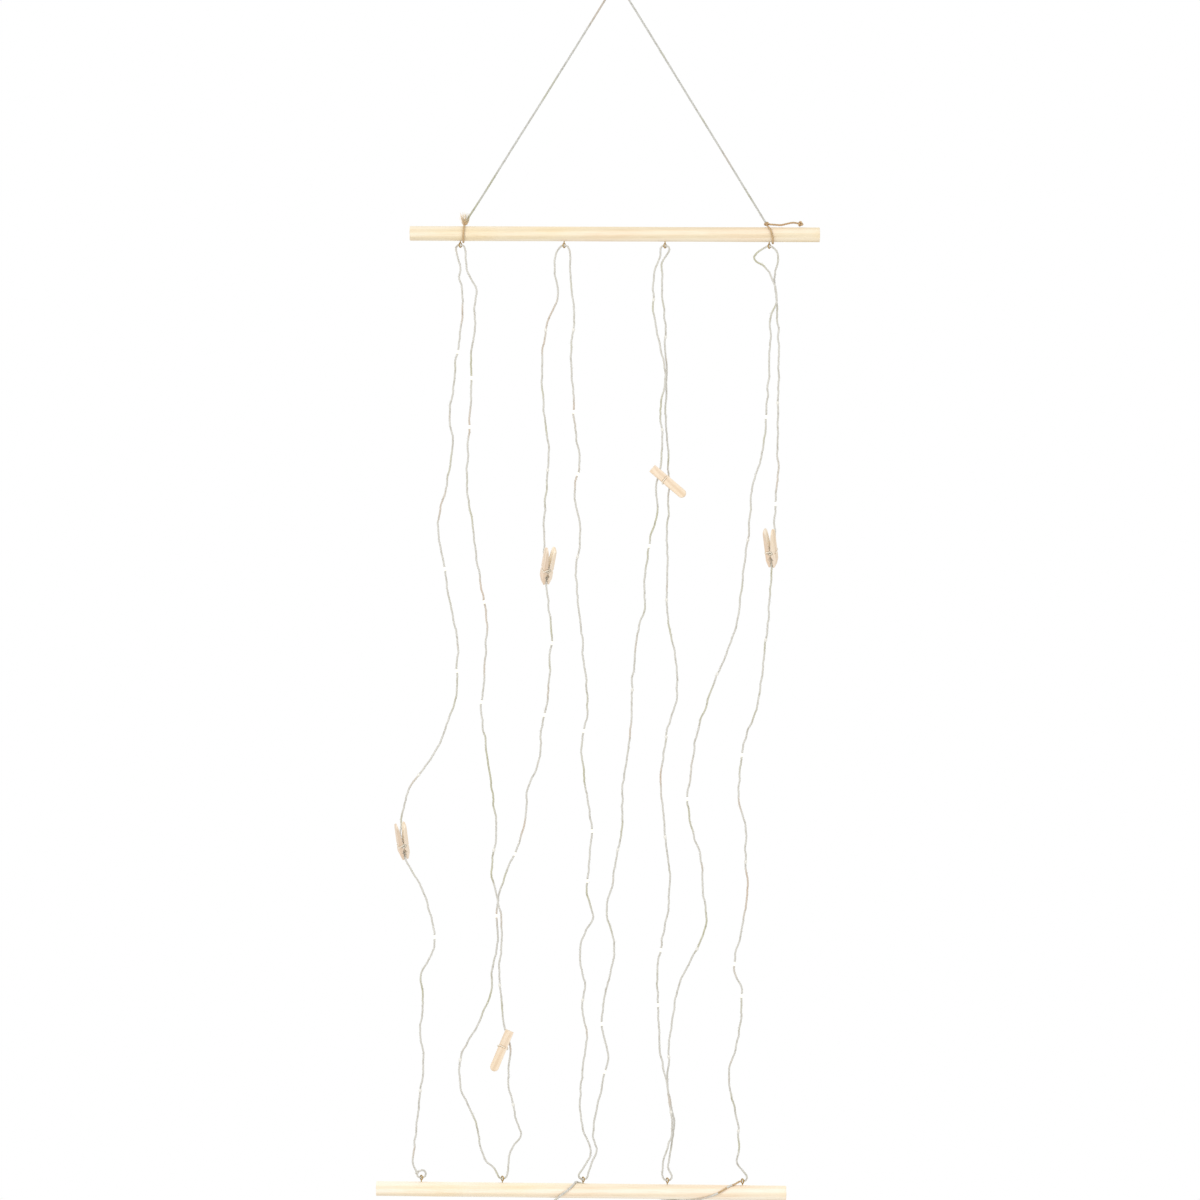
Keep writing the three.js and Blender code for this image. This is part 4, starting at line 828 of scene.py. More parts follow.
def wood_material(name, pale, band, ring_scale, grain_stretch):
    """Wood whose grain runs along the piece's own X: growth rings about a slanting heart outside the
    piece, broad stains and fine pores."""
    finish = Finish(name, pale, 0.62)
    place = finish.own_place((grain_stretch, 1, 1))
    waver = finish.noise(place, 60, 3)
    heart = finish.add("ShaderNodeMapping", {
        "Vector": place,
        "Location": (0, 5 * MM, -11 * MM),
        "Rotation": (0, math.radians(24), math.radians(9)),
    })
    rings = finish.add("ShaderNodeTexWave", {
        "Vector": heart.outputs["Vector"],
        "Scale": ring_scale,
        "Distortion": 5,
        "Detail": 2,
        "Detail Scale": 0.6,
    })
    rings.wave_type = "RINGS"
    rings.rings_direction = "X"
    grain = finish.ramp(rings.outputs["Fac"], [(0.25, pale), (0.7, band), (0.95, darker(band, 0.9))])
    body = finish.mix(finish.between(waver, 0.15, 0.75), pale, grain)
    clouds = finish.noise(finish.own_place((0.3, 1, 1)), 45, 2)
    yellow, rosy = (1, 0.96, 0.88), (1, 0.95, 0.93)
    stains = finish.ramp(clouds, [(0.36, yellow), (0.5, WHITE), (0.66, rosy)])
    stained = finish.mix(1.0, body, stains, "MULTIPLY")
    pores = finish.noise(finish.own_place((grain_stretch * 0.6, 1, 1)), 2600, 2)
    flecks = finish.ramp(pores, [(0.32, (0.86, 0.8, 0.7)), (0.46, WHITE)])
    finish.shade({
        "Base Color": finish.mix(0.6, stained, flecks, "MULTIPLY"),
        "Roughness": finish.between(pores, 0.72, 0.5),
    })
    finish.bump(pores, 0.25, 0.08 * MM)
    return finish.material


def wire_material(name, base, roughness, metallic=1):
    """Plated wire, dull in places."""
    finish = Finish(name, base, roughness, metallic)
    dull = finish.noise(finish.own_place(), 900, 3)
    finish.shade({
        "Base Color": finish.ramp(dull, [(0.35, darker(base, 0.8)), (0.6, base)]),
        "Roughness": finish.between(dull, roughness * 0.8, roughness * 1.5),
    })
    finish.bump(dull, 0.1, 0.03 * MM)
    return finish.material


def plastic_material(name, base, roughness):
    """Moulded plastic with a fine even texture."""
    finish = Finish(name, base, roughness)
    place = finish.own_place()
    texture = finish.noise(place, 3200, 2)
    cloud = finish.noise(place, 70, 2)
    finish.shade({
        "Base Color": finish.ramp(cloud, [(0.3, darker(base, 0.96)), (0.7, base)]),
        "Roughness": finish.between(texture, roughness * 0.85, roughness * 1.25),
    })
    finish.bump(texture, 0.18, 0.05 * MM)
    return finish.material


def light_material(name, base, glow):
    """The clear drop of a lamp, with its glow as painted light; its pale glowing and darker unlit copies
    are painted lit and shaded lamps.
    """
    finish = Finish(name, base, 0.12)
    cloud = finish.noise(finish.own_place(), 900, 2)
    finish.shade({
        "Base Color": finish.ramp(cloud, [(0.3, darker(base, 0.93)), (0.7, base)]),
        "Emission Color": (*base, 1),
        "Emission Strength": glow,
        "Coat Weight": 0.6,
    })
    return finish.material


# Operators

class STRINGLIGHTS_OT_stage(bpy.types.Operator):
    """Makes the camera at the photograph's view, the pale floor and the soft studio light"""

    bl_idname = "string_lights.stage"
    bl_label = "Stage"

    def execute(self, context):
        aim = from_photo((*PHOTO_CENTRE_PIXEL, 0))
        self.add_camera(context.scene, aim)
        self.add_floor(aim)
        for name, (offset, size, power) in LAMPS.items():
            self.add_lamp(name, aim, Vector(offset), size, power)
        self.light_world(context.scene)
        context.scene.view_settings.view_transform = "Standard"
        return {"FINISHED"}

    def add_camera(self, scene, aim):
        data = bpy.data.cameras.new("Camera")
        data.lens = LENS
        data.sensor_width = SENSOR
        data.clip_end = 50
        distance = PHOTO_WIDTH_PIXELS * PIXEL * LENS / SENSOR
        camera = add_object("Camera", data)
        camera.location = aim + Vector((0, -distance, 0))
        camera.rotation_euler = (math.pi / 2, 0, 0)
        scene.camera = camera

    def add_floor(self, aim):
        half = FLOOR_HALF
        corners = [(-half, -half), (half, -half), (half, half), (-half, half)]
        mesh = bpy.data.meshes.new("floor")
        mesh.from_pydata([(aim.x + x, y, -FLOOR_DROP) for x, y in corners], [], [(0, 1, 2, 3)])
        mesh.materials.append(self.floor_material())
        add_object("floor", mesh)

    def floor_material(self):
        """A floor that the camera sees nearly white and that lights the object as a light grey one."""
        material = bpy.data.materials.new("Pale floor")
        material.use_nodes = True
        material.node_tree.nodes.clear()
        floor = Nodes(material.node_tree)
        paint = floor.add("ShaderNodeBsdfDiffuse", {"Color": (0.8, 0.8, 0.8, 1)})
        shown = floor.add("ShaderNodeBsdfDiffuse", {"Color": (0.45, 0.45, 0.45, 1)})
        glow = floor.add("ShaderNodeEmission", {"Strength": 0.66})
        both = floor.add("ShaderNodeAddShader", {0: shown.outputs[0], 1: glow.outputs[0]})
        camera = floor.add("ShaderNodeLightPath", {}).outputs["Is Camera Ray"]
        choice = {0: camera, 1: paint.outputs[0], 2: both.outputs[0]}
        surface = floor.add("ShaderNodeMixShader", choice).outputs[0]
        floor.add("ShaderNodeOutputMaterial", {"Surface": surface})
        return material

    def add_lamp(self, name, aim, offset, size, power):
        data = bpy.data.lights.new(name, "AREA")
        data.size = size
        data.energy = power
        lamp = add_object(name, data)
        lamp.location = aim + offset
        lamp.rotation_euler = (-offset).to_track_quat("-Z", "Y").to_euler()

    def light_world(self, scene):
        """A white world that is a little weaker as a lamp than to the eye and in mirrors."""
        world = bpy.data.worlds.new("Studio")
        scene.world = world
        world.use_nodes = True
        studio = Nodes(world.node_tree)
        path = studio.add("ShaderNodeLightPath", {})
        seen = path.outputs["Is Camera Ray"]
        for ray in ("Is Transmission Ray", "Is Glossy Ray"):
            either = studio.add("ShaderNodeMath", {0: seen, 1: path.outputs[ray]})
            either.operation = "MAXIMUM"
            seen = either.outputs[0]
        background = studio.nodes["Background"]
        studio.put(background.inputs["Color"], (*WHITE, 1))
        studio.put(background.inputs["Strength"], studio.between(seen, 0.9, 1.0))


class STRINGLIGHTS_OT_light_string(bpy.types.Operator):
    """Makes the light string: its eight runs, their lamps and loose fibres, and the tied end"""

    bl_idname = "string_lights.light_string"
    bl_label = "Light string"

    def execute(self, context):
        settings = context.scene.string_lights_cords
        end_knot = from_photo(END_KNOT_PIXEL)
        jute = cord_material("Jute light string", settings.rope_colour)
        # Two copies of one clear drop: the pale one with a glow is painted light, the darker one without
        # glow is painted shade.
        painted_light_drop = light_material("Clear lamp drop", settings.painted_light_lamp_colour, 0.35)
        turned = light_material("Clear lamp drop in painted shade", settings.painted_shade_lamp_colour, 0)
        chance = random.Random(11)
        for number, run in enumerate(RUNS, 1):
            path = kinked(smooth(run_points(run), ROPE_STEP), number)
            if run["to"] is None:
                path += [path[-1].lerp(end_knot, share) for share in (0.4, 0.8)]
            cord = rope(f"light_string_{number}", path, jute)
            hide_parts(f"string_run_{number}")
            pieces = [
                self.make_lights(f"light_string_{number}_lamps", run["lights"], path, painted_light_drop),
                self.make_lights(f"light_string_{number}_painted_shade_lamps", run["turned"], path, turned),
                make_fibres(f"light_string_{number}_fibres", path, jute, chance),
            ]
            if run["to"] is None:
                pieces += self.make_end(end_knot, jute)
            for piece in [cord] + pieces:
                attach(piece, "curtain")
        return {"FINISHED"}

    def make_lights(self, name, rows, path, material):
        """Clear drops moulded round the string, each thickest at its middle."""
        shape = Shape()
        swell = LAMP_RADIUS - LAMP_END_RADIUS
        for row in rows:
            place, direction = at_row(path, row)
            steps = [place + direction * LAMP_HALF_LENGTH * (2 * i / 10 - 1) for i in range(11)]
            shape.tube(
                steps,
                lambda share: LAMP_END_RADIUS + swell * math.sin(math.pi * share) ** 0.75,
                sides=12,
            )
        return shape.build(name, material)

    def make_end(self, knot, material):
        """The knot at the end of the string and the small loop that it ties through the eye."""
        points = arc(BOTTOM_DOWEL, BOTTOM_EYES[0], 1, -1, [66, 42, 21, 0])
        points += arc(BOTTOM_DOWEL, BOTTOM_EYES[0], 1, 1, [0, 30, 60, 90, 120, 150, 180])
        back = beside_end_knot(END_KNOT_LOOP_DEGREES)
        points = [knot.lerp(points[0], 0.2)] + points + [back, knot.lerp(back, 0.3)]
        loop = rope("light_string_end_loop", smooth(points, ROPE_STEP), material)
        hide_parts("string_end_loop")
        tied = make_knot(
            "light_string_end_knot", knot, END_KNOT_WIDTH, END_KNOT_WIDTH, material, 0.7,
        )
        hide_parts("string_end_knot")
        return [loop, tied]


class STRINGLIGHTS_OT_hanger(bpy.types.Operator):
    """Makes the hanger twine with its two ties, the frayed end at the left and the tail at the right"""

    bl_idname = "string_lights.hanger"
    bl_label = "Hanger twine"

    def execute(self, context):
        settings = context.scene.string_lights_cords
        twine = cord_material("Jute twine", settings.twine_colour)
        brown = cord_material("Jute at the ties", settings.tie_colour_and_lead_shade)
        chance = random.Random(5)
        lift = DOWEL_RADIUS + GAP + KNOT_HEIGHT / 2
        left, right = (on_dowel(TOP_DOWEL, tie["knot"] * PIXEL, 0, lift) for tie in TIES.values())
        points = [left] + [from_photo(q) for q in TWINE_ROUTE] + [right]
        path = smooth(points, ROPE_STEP)
        path = [p for p in path if min((p - left).length, (p - right).length) > KNOT_REACH_IN]
        cord = rope("hanger_cord", path, twine, TWINE_SWELL)
        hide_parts("hanger_twine")
        pieces = []
        for (name, tie), knot in zip(TIES.items(), (left, right)):
            tied = make_knot(
                f"{name}_hanger_knot", knot, KNOT_WIDTH, KNOT_HEIGHT, brown, tie["turn"],
            )
            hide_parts(f"{name}_tie_knot")
            route = self.loop_path(tie["top"] * PIXEL, tie["bottom"] * PIXEL)
            loop = rope(f"{name}_hanger_loop", route, brown)
            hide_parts(f"{name}_tie_loop")
            pieces += [tied, loop]
        pieces += self.make_tail(right, brown)
        # The fray's paler jute is partly its own colour and partly painted light against the shade among
        # its fibres.
        fray_with_painted_light = cord_material("Frayed jute with painted light", settings.fray_colour_and_painted_light)
        pieces.append(self.make_fray(left, fray_with_painted_light, chance))
        pieces.append(make_fibres("hanger_cord_fibres", path, twine, chance))
        for piece in [cord] + pieces:
            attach(piece, "hanger")
        return {"FINISHED"}

    def loop_path(self, top, bottom):
        """A tie's loop round the upper dowel, from its place along the top to that at the bottom."""
        reach = DOWEL_RADIUS + GAP + CORD_DIAMETER / 2
        start = LOOP_OPENING_DEGREES
        points = []
        for i in range(LOOP_STEPS + 1):
            turn = math.radians(start + (360 - 2 * start) * i / LOOP_STEPS)
            slant = math.sqrt(math.sin(turn / 2))
            points.append(on_dowel(
                TOP_DOWEL,
                top + (bottom - top) * slant,
                -reach * math.sin(turn),
                reach * math.cos(turn),
            ))
        return points

    def make_tail(self, right, material):
        """The tail from the right tie's knot to the knot at its end."""
        knot = on_dowel(TOP_DOWEL, TAIL_KNOT_AT * PIXEL, 0, DOWEL_RADIUS + GAP + TAIL_KNOT_WIDTH / 2)
        first = TIES["right"]["knot"]
        points = [right]
        for share, out, rise in TAIL_SHARES:
            at = (first + (TAIL_KNOT_AT - first) * share) * PIXEL
            points.append(on_dowel(TOP_DOWEL, at, out * MM, DOWEL_RADIUS + rise * MM))
        points.append(knot)
        path = [p for p in smooth(points, ROPE_STEP) if (p - right).length > TAIL_REACH_IN]
        tail = rope("hanger_tail_cord", path, material)
        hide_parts("hanger_tail")
        tied = make_knot(
            "hanger_tail_knot", knot, TAIL_KNOT_WIDTH, TAIL_KNOT_WIDTH, material, 0.8,
        )
        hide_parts("tail_knot")
        return [tail, tied]

    def make_fray(self, knot, material, chance):
        """The cut end of the twine, its fibres spread in a tuft above the left knot."""
        shape = Shape()
        for _ in range(FRAY_FIBRES):
            lean = chance.uniform(-1, 1)
            depth = chance.uniform(-0.5, 0.4)
            length = chance.uniform(5, 9.5) * MM * (1 - 0.25 * max(0, lean))
            start = knot + Vector((chance.uniform(-1.6, 1.6), chance.uniform(-1, 1), -1.5)) * MM
            middle = start + Vector((0.42 * lean, 0.3 * depth, 0.6)) * length
            end = start + Vector((0.5 * lean + chance.uniform(-0.15, 0.15), 0.6 * depth, 1.1)) * length
            thick = chance.uniform(0.16, 0.26) * MM
            curve = smooth([start, middle, end], 1 * MM)
            shape.tube(curve, lambda share: thick * (1 - 0.6 * share), sides=4)
        return shape.build("left_hanger_fray", material)


class STRINGLIGHTS_OT_lead(bpy.types.Operator):
    """Makes the lead, wound once round the lower dowel, that carries the battery box"""

    bl_idname = "string_lights.lead"
    bl_label = "Lead"

    def execute(self, context):
        settings = context.scene.string_lights_cords
        jute = cord_material("Jute lead", settings.rope_colour)
        points, split, box_top = lead_route()
        path = smooth(points, ROPE_STEP)
        cord = rope("lead_cord", path, jute)
        # A second material, the browner tie colour, is painted shade on the lead's stretches that lie in
        # shade near its last eye.
        cord.data.materials.append(cord_material("Jute lead in painted shade", settings.tie_colour_and_lead_shade))
        patches = [[from_photo((x, 0, 0)).x for x in ends] for ends in LEAD_PAINTED_SHADE_PIXELS]
        for i, point in enumerate(path):
            if any(low < point.x < high for low, high in patches):
                for face in cord.data.polygons[i * ROPE_SIDES:(i + 1) * ROPE_SIDES]:
                    face.material_index = 1
        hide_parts("lead_on_dowel", "lead_drop")
        hairs = make_fibres("lead_cord_fibres", path, jute, random.Random(23))
        for piece in (cord, hairs):
            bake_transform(piece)
        sleeve = self.make_bush(box_top)
        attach(sleeve, "battery_box")
        return {"FINISHED"}

    def make_bush(self, box_top):
        """The small moulded sleeve where the lead enters the box."""
        sunk = 0.1 * MM
        shape = Shape()
        shape.join_all([
            shape.circle(box_top + Vector((0, 0, height * MM - sunk)), radius * MM, BUSH_SIDES)
            for height, radius in BUSH_PROFILE
        ])
        rubber = plastic_material("Lead bush", colour("E6E2D8"), 0.5)
        return shape.build("lead_bush", rubber)


def along_lower_dowel(pixel):
    """How far from the lower dowel's middle a pixel across the photograph lies."""
    return (pixel - BOTTOM_DOWEL["pixel"][0]) * PIXEL


def lead_route():
    """The lead's points from the last lower eye to the box, the place where it leaves the dowel, and
    the top of the box."""
    reach = DOWEL_RADIUS + GAP + CORD_DIAMETER / 2
    eye = BOTTOM_EYES[-1]
    points = [on_dowel(BOTTOM_DOWEL, eye - beside, 0, HOLE_LINE) for beside in (GAP / 2, BEND_LEAD)]
    points.append(on_dowel(BOTTOM_DOWEL, eye - BEND_RADIUS, -0.8 * MM, HOLE_LINE - 0.6 * MM))
    for degrees, pixel in LEAD_WIND:
        angle = math.radians(degrees)
        points.append(on_dowel(
            BOTTOM_DOWEL,
            along_lower_dowel(pixel),
            -reach * math.sin(angle),
            reach * math.cos(angle),
        ))
    hang = along_lower_dowel(LEAD_HANGS_AT_PIXEL)
    leave = along_lower_dowel(LEAD_LEAVES_AT_PIXEL)
    points.append(on_dowel(BOTTOM_DOWEL, leave, -reach * 0.45, -reach * 1.06))
    split = on_dowel(BOTTOM_DOWEL, (leave + 2 * hang) / 3, -reach * 0.14, -DROP_FROM_AXIS + 1 * MM)
    points.append(split)
    top = on_dowel(BOTTOM_DOWEL, hang, 0, -DROP_FROM_AXIS - 3 * MM)
    box_top = Vector((top.x, 0, from_photo(BOTTOM_DOWEL["pixel"]).z - BOX_DROP_BELOW_DOWEL))
    points.append(top)
    points += [Vector((top.x, 0, top.z + (box_top.z - top.z) * s)) for s in (1 / 3, 2 / 3)]
    points.append(box_top - Vector((0, 0, LEAD_IN_BOX)))
    return points, split, box_top


class STRINGLIGHTS_OT_dowels(bpy.types.Operator):
    """Makes the two wooden dowels with their softened ends"""

    bl_idname = "string_lights.dowels"
    bl_label = "Dowels"

    def execute(self, context):
        settings = context.scene.string_lights_wood
        for name, dowel, body, pale, band, seed in (
            ("top", TOP_DOWEL, "top_bar", settings.pine_colour, settings.band_colour, 3),
            ("bottom", BOTTOM_DOWEL, "bottom_bar", settings.low_pine_colour, settings.low_band_colour, 8),
        ):
            pine = wood_material(f"Pine {name}", pale, band, *DOWEL_GRAIN)
            rod = self.make_rod(f"{name}_rod", pine, seed)
            rod.matrix_world = dowel_matrix(dowel)
            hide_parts(f"{name}_dowel")
            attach(rod, body)
        return {"FINISHED"}

    def make_rod(self, name, material, seed):
        """A dowel that is a little uneven, with each end rounded off."""
        half = DOWEL_LENGTH / 2
        straight = DOWEL_LENGTH - 2 * DOWEL_END_ROUND
        ends = [(0, 0.55), (0.12 * MM, 0.3), (0.35 * MM, 0.1), (DOWEL_END_ROUND, 0)]
        stations = [(-half + inward, cut) for inward, cut in ends]
        stations += [
            (-half + DOWEL_END_ROUND + straight * i / DOWEL_STATIONS, 0) for i in range(1, DOWEL_STATIONS)
        ]
        stations += [(half - inward, cut) for inward, cut in reversed(ends)]
        chance = random.Random(seed)
        phases = [chance.uniform(0, 2 * math.pi) for _ in range(2)]
        shape = Shape()
        last = None
        for x, cut in stations:
            points = []
            for k in range(DOWEL_SIDES):
                angle = 2 * math.pi * k / DOWEL_SIDES
                sway = 0.03 * math.sin(x * 60 + phases[0] + 2 * angle) + 0.02 * math.sin(x * 25 + phases[1])
                radius = DOWEL_RADIUS - cut * DOWEL_END_ROUND + (sway - 0.05) * MM
                points.append(Vector((x, radius * math.sin(angle), radius * math.cos(angle))))
            ring = shape.ring(points)
            if last is None:
                shape.cap(ring, Vector((x, 0, 0)))
            else:
                shape.join(ring, last)
            last = ring
        shape.cap(last, Vector((half, 0, 0)), True)
        return shape.build(name, material)


class STRINGLIGHTS_OT_screw_eyes(bpy.types.Operator):
    """Makes the screw eyes: a ring of bent wire on a threaded shank"""

    bl_idname = "string_lights.screw_eyes"
    bl_label = "Screw eyes"

    def execute(self, context):
        plated = wire_material("Plated eye wire", colour("B99A5B"), 0.3)
        for name, dowel, eyes, side, body in (
            ("top", TOP_DOWEL, TOP_EYES, -1, "top_bar"),
            ("bottom", BOTTOM_DOWEL, BOTTOM_EYES, 1, "bottom_bar"),
        ):
            for number, offset in enumerate(eyes, 1):
                eye = self.make_eye(f"{name}_screw_eye_{number}", plated)
                flip = Matrix.Rotation(math.pi if side < 0 else 0, 4, "X")
                place = Matrix.Translation((offset, 0, side * HOLE_LINE))
                eye.matrix_world = dowel_matrix(dowel) @ place @ flip
                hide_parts(f"{name}_eye_{number}")
                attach(eye, body)
        return {"FINISHED"}

    def make_eye(self, name, material):
        shape = Shape()
        across = Vector((-math.sin(EYE_TURN), math.cos(EYE_TURN), 0))
        ring = []
        for i in range(EYE_STEPS + 1):
            angle = -math.pi / 2 + EYE_OPENING + (2 * math.pi - 1.4 * EYE_OPENING) * i / EYE_STEPS
            ring.append(EYE_RADIUS * (math.cos(angle) * across + math.sin(angle) * Vector((0, 0, 1))))
        shape.tube(ring, EYE_WIRE / 2, sides=12)
        low = -(EYE_STAND + EYE_SHANK)
        high = -EYE_RADIUS
        shank = [Vector((0, 0, low + (high - low) * i / SHANK_STEPS)) for i in range(SHANK_STEPS + 1)]
        shape.tube(shank, self.thread, sides=12)
        return shape.build(name, material)

    def thread(self, share):
        """The shank's radius at this share of its length."""
        return EYE_WIRE / 2 * (0.86 + 0.14 * abs(math.sin(30 * share)))


def leg_outline():
    """One clip leg from the side: along from the jaws to the handle, and out from the clip's middle."""
    # In millimetres: half the jaws' gap, the notch's place and radius, the throat and the coil's seat
    jaw, notch_at, notch = 1.1, 7.2, 1.1
    throat, coil = 0.35, COIL_AT / MM
    seat = (SPRING_RADIUS + SPRING_WIRE / 2 + EASY_GAP) / MM
    handle_gap, end_gap = 0.5, 2.6
    length, thick = CLIP_LENGTH / MM, LEG_THICKNESS / MM
    groove, depth = 0.9, ARM_GROOVE_DEPTH / MM
    # Jaws with their round notch
    points = [(0, jaw), (notch_at - notch, jaw)]
    points += [
        (notch_at - notch * math.cos(a), jaw + notch * math.sin(a))
        for a in (math.radians(d) for d in range(20, 180, 20))
    ]
    points += [(notch_at + notch, jaw), (9.4, jaw), (10.4, throat)]
    # Seat of the coil
    first = math.pi - math.asin(throat / seat)
    last = math.asin(handle_gap / seat)
    angles = [first + (last - first) * i / 12 for i in range(13)]
    points += [(coil + seat * math.cos(a), seat * math.sin(a)) for a in angles]
    # Handle, along its inside and round its end
    points += [(16.2, handle_gap), (22, 1.15), (28, 1.82), (33.6, 2.45), (length, end_gap + 0.25)]
    points += [(length, thick - 0.9), (length - 0.35, thick - 0.3), (length - 1.1, thick), (30, thick)]
    # Back with the groove for the spring's arm, and the sloping nose
    points += [(22, thick), (coil + groove, thick), (coil + groove * 0.8, thick - depth)]
    points += [(coil - groove * 0.8, thick - depth), (coil - groove, thick), (9, thick), (6, thick)]
    points += [(3, (thick + jaw + 1.4) / 2), (0.3, jaw + 1.5), (0, jaw + 1.2)]
    return [(a * MM, b * MM) for a, b in points]


def clip_matrix(clip):
    """The clip's own frame: X from jaws to handles, Y across the jaws, Z along its width."""
    run = RUNS[clip["run"]]
    place, direction = at_row(smooth(run_points(run), 0.5 * MM), clip["row"])
    across = Vector(clip["across"])
    across = (across - across.dot(direction) * direction).normalized()
    if "slope" in clip:
        length = Vector(clip["slope"])
    else:
        length = -direction
        length.rotate(Matrix.Rotation(math.radians(clip["lean"]), 3, across))
    length = (length - across.dot(length) * across).normalized()
    width = length.cross(across)
    matrix = Matrix((length, across, width)).transposed().to_4x4()
    matrix.translation = place - length * clip["grip"] * MM
    return matrix


class STRINGLIGHTS_OT_clips(bpy.types.Operator):
    """Makes the wooden clips: two legs with rounded handles and a wire spring"""

    bl_idname = "string_lights.clips"
    bl_label = "Clips"

    def execute(self, context):
        settings = context.scene.string_lights_wood
        steel = wire_material("Spring wire", colour("F6EEDD"), 0.5, 0.2)
        for number, clip in enumerate(CLIPS, 1):
            birch = wood_material(
                f"Clip wood {number}", settings.clip_colour, settings.clip_grain_colour, *CLIP_GRAIN,
            )
            # A paler copy of the clip wood: painted light for the faces between the legs, where shade
            # falls.
            painted_light_wood = wood_material(
                f"Clip wood with painted light inside {number}", settings.painted_light_inside_colour, settings.clip_colour, *CLIP_GRAIN,
            )
            matrix = clip_matrix(clip)
            for part, side, body in (("leg", -1, f"clip_{number}"), ("lever", 1, f"clip_{number}_lever")):
                wood = self.make_leg(f"clip_{number}_{part}_wood", side, birch, painted_light_wood)
                bevel(wood, settings.edge_round)
                wood.matrix_world = matrix
                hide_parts(f"clip_{number}_{part}")
                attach(wood, body)
            spring = self.make_spring(f"clip_{number}_wire", matrix, steel)
            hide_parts(f"clip_{number}_spring")
            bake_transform(spring)
        return {"FINISHED"}

    def make_leg(self, name, side, material, painted_light_wood):
        """One leg, its outline drawn out over the clip's width, with a rounded handle, and on the faces
        inside between the legs a paler wood: painted light that lifts the shade there."""
        outline = leg_outline()
        inside = next(i for i, (a, b) in enumerate(outline) if a >= CLIP_LENGTH)
        half = CLIP_WIDTH / 2
        shape = Shape()
        rings = []
        for k in range(-LEG_HALF_SLICES, LEG_HALF_SLICES + 1):
            off_middle = half * k / LEG_HALF_SLICES
            bow = math.sqrt(max(0, 1 - (off_middle / (half * 1.04)) ** 2))
            points = []
            for a, b in outline:
                if a > HANDLE_ROUND_FROM:
                    a = HANDLE_ROUND_FROM + (a - HANDLE_ROUND_FROM) * (0.18 + 0.82 * bow)
                points.append(Vector((a, side * b, off_middle)))
            rings.append(shape.ring(points))
        if side < 0:
            rings.reverse()
        shape.join_all(rings)
        shape.faces += [tuple(reversed(rings[0])), tuple(rings[-1])]
        leg = shape.build(name, material)
        leg.data.shade_flat()
        # The faces inside between the legs take the paler wood: painted light that lifts their shade.
        leg.data.materials.append(painted_light_wood)
        for face in leg.data.polygons[:(len(rings) - 1) * len(outline)]:
            if face.index % len(outline) < inside:
                face.material_index = 1
        return leg

    def make_spring(self, name, matrix, material):
        """One wire: the coil across the clip, and at each end an arm that bends over the edge and lies
        in the groove across a leg's back."""
        arm_out = LEG_THICKNESS - ARM_GROOVE_DEPTH + GAP + SPRING_WIRE / 2
        side = CLIP_WIDTH / 2 + GAP + SPRING_WIRE / 2
        r = SPRING_RADIUS
        arm = [
            (r, 0.6 * r, side - 0.1 * MM),
            (r - 0.1 * MM, 1.35 * r, side + 0.1 * MM),
            (0.6 * r, arm_out - 0.9 * MM, side + 0.2 * MM),
            (0.1 * MM, arm_out, side - 0.2 * MM),
            (0, arm_out, CLIP_WIDTH / 2 - SPRING_WIRE),
            (0, arm_out, 0),
            (0, arm_out, -SPRING_ARM_REACH),
        ]
        points = [(u, -v, -w) for u, v, w in reversed(arm)]
        steps = SPRING_TURNS * SPRING_TURN_STEPS
        for i in range(steps + 1):
            share = 2 * i / steps - 1
            turn = SPRING_TURNS * math.pi * share
            points.append((r * math.cos(turn), r * math.sin(turn), SPRING_COIL_HALF * share))
        points += arm
        path = [matrix @ Vector((COIL_AT + u, v, w)) for u, v, w in points]
        shape = Shape()
        shape.tube(smooth(path, SPRING_STEP), SPRING_WIRE / 2)
        return shape.build(name, material)


